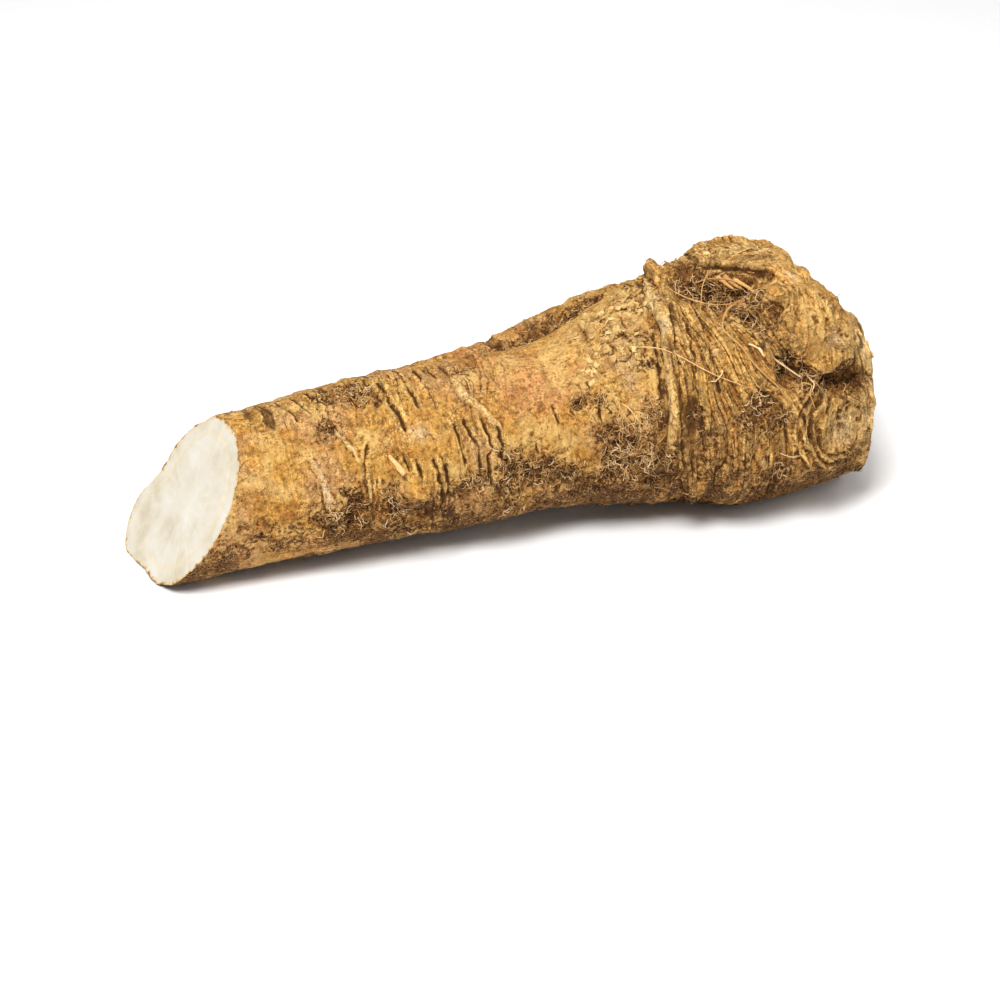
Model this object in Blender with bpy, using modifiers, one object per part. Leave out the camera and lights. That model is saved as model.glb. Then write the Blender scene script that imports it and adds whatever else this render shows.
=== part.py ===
"""Horseradish root, lying on its side: a stout taproot cut off obliquely at its thin end, with a
second root grown along its back and a lobed, scarred crown at its thick end. It grew as one piece,
so it is one solid.

Metres, +Z up. X runs along the root from the cut end to the crown, +Y is its back, and the origin
is under the middle of the root, on the surface that it rests on.
"""

import math
import random

import bmesh
import bpy
import numpy as np
from mathutils import Matrix, Vector

# Driving dimensions. Places along the root are shares of its length, counted from the tip of the
# cut end. Places across it, widths and depths are in tail radii. An angle round the root is 0 at
# the front, 90 on top and 180 at the back.
ROOT_LENGTH = 0.218
TAIL_RADIUS = 0.0215

# The main root's sections: share of the length, sideways shift, half height, half depth, and how
# far the underside stands off the surface.
MAIN_SECTIONS = (
    (-0.06, -0.33, 0.97, 0.87, 0.00),
    (0.06, -0.33, 0.98, 0.88, 0.00),
    (0.18, -0.22, 1.02, 1.00, 0.02),
    (0.32, -0.21, 1.09, 1.07, 0.09),
    (0.44, -0.24, 1.09, 1.08, 0.14),
    (0.54, -0.22, 1.08, 1.08, 0.20),
    (0.62, -0.22, 1.29, 1.26, 0.14),
    (0.68, -0.22, 1.50, 1.44, 0.05),
    (0.75, -0.36, 1.68, 1.58, -0.04),
    (0.84, -0.27, 1.64, 1.55, -0.04),
    (0.91, -0.20, 1.42, 1.44, 0.01),
    (0.96, -0.20, 1.08, 1.26, 0.09),
    (1.00, -0.20, 0.92, 1.10, 0.22),
    (1.04, -0.20, 0.70, 0.90, 0.42),
)

# The second root's way along the back: share of the length, then its place and its radius.
BACK_ROOT = (
    (-0.06, 0.20, 0.50, 0.55),
    (0.06, 0.22, 0.50, 0.54),
    (0.18, 0.46, 0.68, 0.51),
    (0.30, 0.70, 0.95, 0.48),
    (0.40, 0.86, 1.31, 0.49),
    (0.51, 0.93, 1.50, 0.50),
    (0.61, 0.93, 1.83, 0.53),
    (0.69, 0.79, 2.10, 0.55),
    (0.80, 0.50, 1.90, 0.60),
)

# Shoot bases on the crown: share, place across and up, the way the base points, its half widths
# along and across the root, its height, the width of its end as a share of its foot, and the share
# of its width within which leaf scars leave no rings.
CROWN_BASES = (
    (0.815, 0.16, 2.72, (0.06, 0.16, 1.00), 1.28, 0.95, 0.92, 0.70, 0.50),
    (0.850, -1.05, 2.42, (0.30, -0.66, 0.68), 0.86, 0.82, 0.95, 0.74, 1.00),
    (0.868, -1.42, 1.36, (0.30, -0.95, 0.06), 0.68, 0.76, 0.70, 0.80, 0.50),
    (0.850, 0.98, 2.20, (0.25, 0.85, 0.45), 0.92, 0.80, 0.80, 0.74, 0.40),
    (0.868, 1.04, 1.05, (0.35, 0.90, -0.15), 0.82, 0.74, 0.80, 0.78, 0.50),
)

# Small root stubs: share and angle of the foot, length, radius, and how far the tip leans along
# the root.
STUBS = (
    (0.702, 112, 0.24, 0.075, -0.08),
    (0.335, 2, 0.26, 0.085, 0.16),
    (0.250, 190, 0.30, 0.11, 0.10),
    (0.470, 215, 0.34, 0.12, -0.12),
    (0.655, 200, 0.32, 0.13, 0.12),
)

# Hollows and swellings of the skin: share, angle, half width, and height, which is negative for a
# hollow.
MOUNDS = (
    (0.745, 70, 0.44, -0.34),
    (0.790, 56, 0.26, -0.36),
    (0.824, 26, 0.28, -0.34),
    (0.880, 22, 0.22, -0.26),
    (0.800, -6, 0.34, -0.14),
    (0.564, 39, 0.16, -0.16),
    (0.490, -3, 0.15, -0.14),
    (0.238, 1, 0.20, 0.07),
    (0.262, -4, 0.15, -0.09),
    (0.228, 52, 0.14, -0.10),
    (0.290, 74, 0.12, -0.13),
    (0.345, -20, 0.20, -0.10),
    (0.400, -8, 0.16, -0.09),
    (0.440, -12, 0.22, 0.06),
    (0.530, -14, 0.18, -0.10),
    (0.610, -8, 0.22, -0.12),
    (0.655, -26, 0.20, -0.10),
    (0.620, 78, 0.30, 0.09),
    (0.640, 40, 0.22, -0.08),
    (0.140, -12, 0.12, -0.07),
    (0.720, -60, 0.34, -0.14),
    (0.870, -62, 0.40, 0.03),
    (0.780, 215, 0.44, -0.18),
    (0.700, 245, 0.36, -0.12),
    (0.850, 165, 0.24, -0.24),
    (0.360, 240, 0.26, -0.12),
    (0.520, 262, 0.30, 0.10),
    (0.180, 262, 0.24, -0.08),
    (0.600, 235, 0.24, -0.12),
)

# Hollows between the shoot bases and under their ends: share, place across and up, half width and
# depth.
POCKETS = (
    (0.722, -0.30, 3.18, 0.26, 0.24),
    (0.750, -0.46, 3.16, 0.30, 0.40),
    (0.780, -0.62, 3.14, 0.26, 0.44),
    (0.806, -0.62, 3.24, 0.15, 0.40),
    (0.830, -0.62, 3.27, 0.12, 0.30),
    (0.790, -0.95, 2.95, 0.18, 0.16),
    (0.817, -1.10, 2.92, 0.15, 0.12),
    (0.800, -1.36, 2.55, 0.18, 0.12),
    (0.818, -1.52, 2.34, 0.17, 0.18),
    (0.850, -1.50, 2.16, 0.17, 0.28),
    (0.882, -1.44, 2.06, 0.17, 0.30),
    (0.912, -1.46, 2.00, 0.15, 0.26),
    (0.772, -1.86, 1.92, 0.24, 0.11),
    (0.790, -1.80, 1.62, 0.16, 0.08),
    (0.893, -1.70, 1.42, 0.34, 0.06),
)

# Knobbly ground, where buds and side roots broke off: share, place across and up, half width, how
# many knobs, and how high they stand.
KNOBBLY = (
    (0.872, -1.36, 2.66, 0.62, 26, 0.060),
    (0.782, -0.92, 2.86, 0.34, 14, 0.060),
    (0.770, -1.84, 1.86, 0.26, 12, 0.050),
    (0.893, -1.72, 1.42, 0.34, 12, 0.035),
    (0.640, -1.20, 1.60, 0.40, 18, 0.055),
    (0.510, -1.16, 1.20, 0.34, 14, 0.050),
    (0.630, -0.60, 2.62, 0.40, 16, 0.045),
    (0.880, 1.30, 2.10, 0.60, 20, 0.055),
    (0.800, 1.40, 1.30, 0.50, 16, 0.050),
)
KNOB_WIDTHS = (0.08, 0.15)

# Roots and veins grown flat onto the skin: half width, height, and the way they take as shares of
# the length and angles.
BANDS = (
    (0.11, 0.13, ((0.702, 112), (0.695, 92), (0.684, 70), (0.677, 48), (0.675, 24), (0.670, 2),
                  (0.680, -18), (0.702, -38))),
    (0.08, 0.06, ((0.215, 28), (0.232, 16), (0.240, 2))),
    (0.07, 0.05, ((0.248, 60), (0.272, 40), (0.282, 16), (0.276, -12))),
    (0.08, 0.07, ((0.455, 66), (0.475, 46), (0.498, 30))),
    (0.10, 0.10, ((0.940, 60), (0.955, 30), (0.955, -5), (0.935, -35))),
    (0.10, 0.09, ((0.560, 160), (0.600, 182), (0.620, 214), (0.612, 244))),
    (0.09, 0.08, ((0.760, 150), (0.752, 186), (0.766, 222), (0.760, 256))),
)

# Creases round the root: how many, the shares and angles between which their middles lie, half
# their sweep in degrees, width and depth.
CREASES = (
    (16, (0.22, 0.50), (48, 104), (18, 40), 0.062, 0.048),
    (12, (0.30, 0.53), (-46, 12), (12, 26), 0.060, 0.050),
    (11, (0.575, 0.70), (-46, 56), (20, 42), 0.065, 0.052),
    (11, (0.705, 0.83), (-52, 62), (34, 62), 0.068, 0.050),
    (6, (0.06, 0.21), (-60, 100), (16, 34), 0.060, 0.028),
    (22, (0.10, 0.56), (126, 290), (16, 44), 0.065, 0.046),
    (17, (0.58, 0.92), (112, 290), (22, 52), 0.070, 0.050),
)

# Leaf scars that ring the ends of the shoot bases: how far apart, how deep, and how far they
# wander.
RING_PITCH = 0.24
RING_DEPTH = 0.028
RING_WANDER = 0.07

# The oblique cut at the tail and the crown's dried end: a point on each plane and the way it faces.
CUT_POINT = Vector((-0.0843, -0.0165, 0.0282))
CUT_NORMAL = Vector((-0.848, -0.195, 0.487)).normalized()
END_POINT = Vector((0.1045, -0.0100, 0.0300))
END_NORMAL = Vector((0.96, -0.27, 0.00)).normalized()
END_BULGE = 0.18

SIDES = 64
VOXEL = 0.0011
TRIANGLES = 11700
FLAT_TOLERANCE = 0.00012
SKIN_COLOUR = (0.52, 0.33, 0.13, 1)
SKIN_ROUGHNESS = 0.78


def along(share):
    """X at this share of the root's length."""
    return ROOT_LENGTH * (share - 0.49)


def remove_startup_objects():
    for obj in list(bpy.data.objects):
        bpy.data.objects.remove(obj, do_unlink=True)


def smooth_curve(rows, at):
    """Rows of numbers, read again at other values of their first one, along a smooth curve."""
    rows = np.array(rows, float)
    keys = rows[:, 0]
    at = np.clip(at, keys[0], keys[-1])
    slopes = np.gradient(rows, keys, axis=0)
    index = np.clip(np.searchsorted(keys, at, side="right") - 1, 0, len(keys) - 2)
    span = (keys[index + 1] - keys[index])[:, None]
    t = (at - keys[index])[:, None] / span
    start, end = rows[index], rows[index + 1]
    return (
        (1 + 2 * t) * (1 - t) ** 2 * start
        + t * (1 - t) ** 2 * span * slopes[index]
        + t * t * (3 - 2 * t) * end
        + t * t * (t - 1) * span * slopes[index + 1]
    )


def even_steps(rows, count):
    return smooth_curve(rows, np.linspace(rows[0][0], rows[-1][0], count))


def sections(share):
    """The main root's centre height, sideways place, half height and half depth, in metres."""
    _, shift, high, deep, lift = smooth_curve(MAIN_SECTIONS, np.atleast_1d(share)).T * TAIL_RADIUS
    return high + lift, shift, high, deep


def skin_point(share, angle):
    """The point of the main root's plain skin at a share of the length and an angle round it."""
    centre, shift, high, deep = (value[0] for value in sections(share))
    turn = math.radians(angle)
    return np.array(
        (along(share), shift - deep * math.cos(turn), centre + high * math.sin(turn))
    )


def loft(name, rings):
    """A closed skin through rings of points, with a face at each end."""
    mesh = bmesh.new()
    made = [[mesh.verts.new(point) for point in ring] for ring in rings]
    for ring, following in zip(made, made[1:]):
        for i, corner in enumerate(ring):
            other = (i + 1) % len(ring)
            mesh.faces.new((corner, ring[other], following[other], following[i]))
    mesh.faces.new(made[0])
    mesh.faces.new(reversed(made[-1]))
    bmesh.ops.recalc_face_normals(mesh, faces=mesh.faces)
    data = bpy.data.meshes.new(name)
    mesh.to_mesh(data)
    mesh.free()
    return bpy.data.objects.new(name, data)


def main_root():
    """The taproot with its crown, as a loft through upright elliptical sections."""
    first, last = MAIN_SECTIONS[0][0], MAIN_SECTIONS[-1][0]
    rings = [
        [skin_point(share, 360 * i / SIDES) for i in range(SIDES)]
        for share in np.linspace(first, last, SIDES)
    ]
    return loft("main_root", rings)


def limb(name, points, radii):
    """A root with a round section that follows these points, as a curve with a bevel."""
    curve = bpy.data.curves.new(name, "CURVE")
    curve.dimensions = "3D"
    curve.bevel_depth = TAIL_RADIUS
    curve.bevel_resolution = 6
    curve.use_fill_caps = True
    spline = curve.splines.new("POLY")
    spline.points.add(len(points) - 1)
    for point, place, radius in zip(spline.points, points, radii):
        point.co = (*place, 1)
        point.radius = radius
    return bpy.data.objects.new(name, curve)


def back_root():
    rows = even_steps(BACK_ROOT, 30)
    points = [(along(share), y * TAIL_RADIUS, z * TAIL_RADIUS) for share, y, z, _ in rows]
    return limb("back_root", points, rows[:, 3])


def stub(share, angle, length, radius, lean):
    """The remains of a side root, which stands off the skin and leans along the root."""
    foot = skin_point(share, angle)
    turn = math.radians(angle)
    away = np.array((lean / length, -math.cos(turn), math.sin(turn))) * length * TAIL_RADIUS
    steps = (-0.6, 0.1, 0.5, 0.9, 1.0)
    narrowing = (1.5, 1.3, 1.0, 0.9, 0.6)
    return limb("stub", [foot + away * step for step in steps], [radius * n for n in narrowing])


def crown_base(share, across, up, pointing, half_along, half_across, height, narrowing):
    """One shoot base: a short blunt cone, sunk well into the crown."""
    mesh = bmesh.new()
    bmesh.ops.create_cone(
        mesh, cap_ends=True, segments=SIDES, radius1=1, radius2=narrowing, depth=1
    )
    foot = Matrix.Translation((along(share), across * TAIL_RADIUS, up * TAIL_RADIUS))
    turn = Vector(pointing).to_track_quat("Z", "X").to_matrix().to_4x4()
    size = Matrix.Diagonal((half_along, half_across, height, 1 / TAIL_RADIUS)) * TAIL_RADIUS
    bmesh.ops.transform(mesh, verts=mesh.verts, matrix=foot @ turn @ size)
    data = bpy.data.meshes.new("crown_base")
    mesh.to_mesh(data)
    mesh.free()
    return bpy.data.objects.new("crown_base", data)


def joined(name, shapes):
    """One object that holds the meshes of all these shapes, which are then removed."""
    for shape in shapes:
        bpy.context.scene.collection.objects.link(shape)
    graph = bpy.context.evaluated_depsgraph_get()
    whole = bmesh.new()
    for shape in shapes:
        whole.from_mesh(bpy.data.meshes.new_from_object(shape.evaluated_get(graph)))
        bpy.data.objects.remove(shape)
    bmesh.ops.remove_doubles(whole, verts=whole.verts, dist=0.00001)
    data = bpy.data.meshes.new(name)
    whole.to_mesh(data)
    whole.free()
    return bpy.data.objects.new(name, data)


def fuse(root):
    """Grows the overlapping shapes into one skin and softens where they meet."""
    remesh = root.modifiers.new("fuse", "REMESH")
    remesh.mode = "VOXEL"
    remesh.voxel_size = VOXEL
    soften = root.modifiers.new("soften", "SMOOTH")
    soften.iterations = 8
    graph = bpy.context.evaluated_depsgraph_get()
    root.data = bpy.data.meshes.new_from_object(root.evaluated_get(graph))
    root.modifiers.clear()


def bell(distance, width):
    return np.exp(-((distance / width) ** 2))


def mounds(points):
    """Height of the hollows and swellings at these points."""
    height = np.zeros(len(points))
    for share, angle, width, rise in MOUNDS:
        distance = np.linalg.norm(points - skin_point(share, angle), axis=1)
        height += rise * TAIL_RADIUS * bell(distance, width * TAIL_RADIUS)
    return height


def pockets(points):
    """Depth of the hollows of the crown at these points."""
    height = np.zeros(len(points))
    for share, across, up, width, depth in POCKETS:
        place = (along(share), across * TAIL_RADIUS, up * TAIL_RADIUS)
        distance = np.linalg.norm(points - place, axis=1)
        height -= depth * TAIL_RADIUS * bell(distance, width * TAIL_RADIUS)
    return height


def knobs(points):
    """Height of the small knobs and dents of knobbly ground."""
    draw = random.Random(8)
    height = np.zeros(len(points))
    for share, across, up, reach, count, rise in KNOBBLY:
        middle = np.array((along(share), across * TAIL_RADIUS, up * TAIL_RADIUS))
        near = np.where(np.linalg.norm(points - middle, axis=1) < reach * TAIL_RADIUS)[0]
        for i in range(count):
            place = points[near[draw.randrange(len(near))]]
            width = draw.uniform(*KNOB_WIDTHS) * TAIL_RADIUS
            bump = draw.uniform(0.5, 1.0) * rise * TAIL_RADIUS * (-1 if i % 3 == 0 else 1)
            height += bump * bell(np.linalg.norm(points - place, axis=1), width)
    return height


def distance_to_path(points, path):
    """Distance from each point to the nearest straight stretch of a path."""
    nearest = np.full(len(points), np.inf)
    for start, end in zip(path, path[1:]):
        run = end - start
        t = np.clip((points - start) @ run / (run @ run), 0, 1)
        nearest = np.minimum(nearest, np.linalg.norm(points - start - t[:, None] * run, axis=1))
    return nearest


def bands(points):
    """Height of the roots that grew flat onto the skin, with a groove on either side."""
    height = np.zeros(len(points))
    for width, rise, way in BANDS:
        rows = even_steps([(i, *stop) for i, stop in enumerate(way)], 4 * len(way))
        path = [skin_point(share, angle) for _, share, angle in rows]
        distance = distance_to_path(points, path) / (width * TAIL_RADIUS)
        height += rise * TAIL_RADIUS * (bell(distance, 1.0) - 0.35 * bell(distance - 1.9, 0.7))
    return height


def creases(share, angle):
    """Depth of the folds that ring the root, each a groove beside a low ridge."""
    draw = random.Random(5)
    height = np.zeros(len(share))
    for count, shares, angles, sweeps, width, depth in CREASES:
        for i in range(count):
            middle = shares[0] + (shares[1] - shares[0]) * (i + draw.uniform(0.2, 0.8)) / count
            facing = draw.uniform(*angles)
            sweep = draw.uniform(*sweeps)
            slant = draw.uniform(-0.010, 0.016)
            wave = draw.uniform(0, 2 * math.pi)
            turned = (angle - facing + 180) % 360 - 180
            wander = 0.004 * np.sin(turned / 11 + wave)
            offset = share - middle + slant * turned / 60 + wander
            offset = offset * ROOT_LENGTH / (width * TAIL_RADIUS)
            fade = np.clip(1 - np.abs(turned / sweep) ** 3, 0, 1)
            strength = draw.uniform(0.6, 1.2) * depth * TAIL_RADIUS
            height += strength * fade * (0.6 * bell(offset - 1.5, 0.9) - bell(offset, 0.8))
    return height


def rings(points):
    """Height of the rings that old leaves left round the ends of the shoot bases."""
    height = np.zeros(len(points))
    for share, across, up, pointing, half_along, half_across, _, _, bare in CROWN_BASES:
        centre = np.array((along(share), across * TAIL_RADIUS, up * TAIL_RADIUS))
        axis = np.array(Vector(pointing).normalized())
        offset = points - centre
        rise = offset @ axis
        flat = offset - rise[:, None] * axis
        radius = np.linalg.norm(flat, axis=1)
        reach = math.sqrt(half_along * half_across) * TAIL_RADIUS
        fade = np.clip((1.15 - radius / reach) * 5, 0, 1) * (rise > 0)
        fade *= np.clip((radius / reach - bare) * 5, 0, 1)
        round_it = np.arctan2(flat[:, 2] - flat[:, 1], flat[:, 0])
        wander = RING_WANDER * (np.sin(2 * round_it + across) + 0.6 * np.sin(5 * round_it + share))
        wave = np.cos(2 * math.pi * (radius / TAIL_RADIUS + wander) / RING_PITCH)
        broken = 0.6 + 0.4 * np.sin(3 * round_it + 2 * across)
        height += RING_DEPTH * TAIL_RADIUS * wave * fade * broken
    return height


def add_relief(root):
    """Moves the skin in and out along its own normals by the sum of all the relief."""
    mesh = root.data
    points = np.empty(len(mesh.vertices) * 3, np.float32)
    mesh.vertices.foreach_get("co", points)
    points = points.reshape(-1, 3).astype(float)
    normals = np.empty(len(mesh.vertices) * 3, np.float32)
    mesh.vertices.foreach_get("normal", normals)
    normals = normals.reshape(-1, 3)
    share = points[:, 0] / ROOT_LENGTH + 0.49
    centre, shift, _, _ = sections(share)
    angle = np.degrees(np.arctan2(points[:, 2] - centre, shift - points[:, 1]))
    height = mounds(points) + bands(points) + creases(share, angle) + rings(points)
    height += pockets(points) + knobs(points)
    points += normals * height[:, None]
    beyond = (points - np.array(END_POINT)) @ np.array(END_NORMAL)
    pressed = np.clip(beyond, 0, None) * (1 - END_BULGE)
    points -= pressed[:, None] * np.array(END_NORMAL)
    mesh.vertices.foreach_set("co", points.astype(np.float32).ravel())
    mesh.update()


def cut_off(mesh, point, normal):
    """Takes away what lies beyond a plane and closes the skin there with a flat face."""
    everything = mesh.verts[:] + mesh.edges[:] + mesh.faces[:]
    cut = bmesh.ops.bisect_plane(
        mesh, geom=everything, plane_co=point, plane_no=normal, clear_outer=True
    )
    rim = [part for part in cut["geom_cut"] if isinstance(part, bmesh.types.BMEdge)]
    bmesh.ops.holes_fill(mesh, edges=rim)


def trim(root):
    """The oblique knife cut at the tail, and the low flats that the root rests on."""
    mesh = bmesh.new()
    mesh.from_mesh(root.data)
    cut_off(mesh, CUT_POINT, CUT_NORMAL)
    cut_off(mesh, Vector((0, 0, 0)), Vector((0, 0, -1)))
    bmesh.ops.triangulate(mesh, faces=mesh.faces)
    mesh.to_mesh(root.data)
    mesh.free()


def thin_out(root):
    """Fewer triangles, spent where the skin is most uneven."""
    decimate = root.modifiers.new("thin_out", "DECIMATE")
    decimate.ratio = TRIANGLES / len(root.data.polygons)
    graph = bpy.context.evaluated_depsgraph_get()
    root.data = bpy.data.meshes.new_from_object(root.evaluated_get(graph))
    root.modifiers.clear()
    root.data.shade_smooth()
    root.data.set_sharp_from_angle(angle=math.radians(40))


def settle(root):
    """Slides the root until its box is centred over the origin, with its flats at height 0."""
    corners = np.array(root.bound_box)
    middle = (corners.min(axis=0) + corners.max(axis=0)) / 2
    root.data.transform(Matrix.Translation((-middle[0], -middle[1], 0)))
    for vertex in root.data.vertices:
        if vertex.co.z < FLAT_TOLERANCE:
            vertex.co.z = 0


def skin_material():
    material = bpy.data.materials.new("root_skin")
    material.use_nodes = True
    shader = material.node_tree.nodes["Principled BSDF"]
    shader.inputs["Base Color"].default_value = SKIN_COLOUR
    shader.inputs["Roughness"].default_value = SKIN_ROUGHNESS
    shader.inputs["Metallic"].default_value = 0
    return material


def main():
    remove_startup_objects()
    shapes = [main_root(), back_root()]
    shapes += [crown_base(*row[:-1]) for row in CROWN_BASES]
    shapes += [stub(*row) for row in STUBS]
    root = joined("root", shapes)
    collection = bpy.data.collections.new("horseradish_root")
    bpy.context.scene.collection.children.link(collection)
    collection.objects.link(root)
    fuse(root)
    add_relief(root)
    trim(root)
    thin_out(root)
    settle(root)
    root.data.materials.append(skin_material())


main()
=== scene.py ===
"""Looks of the horseradish root: its skin with all the fine relief, the cut flesh, rootlets, bark
flakes and crumbs of soil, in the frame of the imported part. Lengths in the tables are in
millimetres, and a place is three numbers, x, y and z."""

import math
import random

import bmesh
import bpy
import numpy as np
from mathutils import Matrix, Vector
from mathutils.bvhtree import BVHTree


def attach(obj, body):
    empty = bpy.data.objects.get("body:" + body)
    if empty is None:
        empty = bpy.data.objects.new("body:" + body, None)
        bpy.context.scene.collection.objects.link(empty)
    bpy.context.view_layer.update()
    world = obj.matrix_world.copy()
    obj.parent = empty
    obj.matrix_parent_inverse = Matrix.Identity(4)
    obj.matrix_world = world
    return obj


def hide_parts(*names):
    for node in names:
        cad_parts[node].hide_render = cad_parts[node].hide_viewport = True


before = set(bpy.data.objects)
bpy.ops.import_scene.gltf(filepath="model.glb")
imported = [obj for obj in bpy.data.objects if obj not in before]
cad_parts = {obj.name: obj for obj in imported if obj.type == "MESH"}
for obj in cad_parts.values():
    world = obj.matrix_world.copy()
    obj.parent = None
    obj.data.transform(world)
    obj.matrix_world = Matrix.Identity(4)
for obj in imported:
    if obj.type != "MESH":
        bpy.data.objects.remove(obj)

MM = 0.001
SKIN_VOXEL = 0.52
SKIN_TRIANGLES = 192000
SOFTENED = 14
CUT_RINGS = 46
STRAY_HAIRS = 520
STUMP_STEPS = 7
CRUMB_SIDES = 5
FLAKE_THICKNESS = 0.1

# The photograph's view: the camera looks at TARGET from this far away.
TARGET = (-3.71, 3.32, 2.5)
TURN, RAISED, FAR, LENS = 17.5, 30.0, 675.0, 85

# The oblique cut at the thin end: a point on its plane and the way it faces.
CUT_POINT = np.array((-88.0, -13.2, 28.2))
CUT_NORMAL = np.array((-0.848, -0.195, 0.487))
CUT_NORMAL /= np.linalg.norm(CUT_NORMAL)
CUT_STRETCH = 6.0

# The middle of the main root at places along it: x, y and z.
AXIS = (
    (-123.6, -3.8, 20.9), (-97.4, -3.8, 21.1), (-71.3, -1.4, 22.4), (-40.8, -1.2, 25.4),
    (-14.6, -1.9, 26.4), (7.2, -1.4, 27.5), (24.6, -1.4, 30.7), (37.7, -1.4, 33.3), (53, -4.4, 35.3),
    (72.6, -2.5, 34.4), (87.9, -1, 30.7), (112, -1, 29),
)

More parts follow.
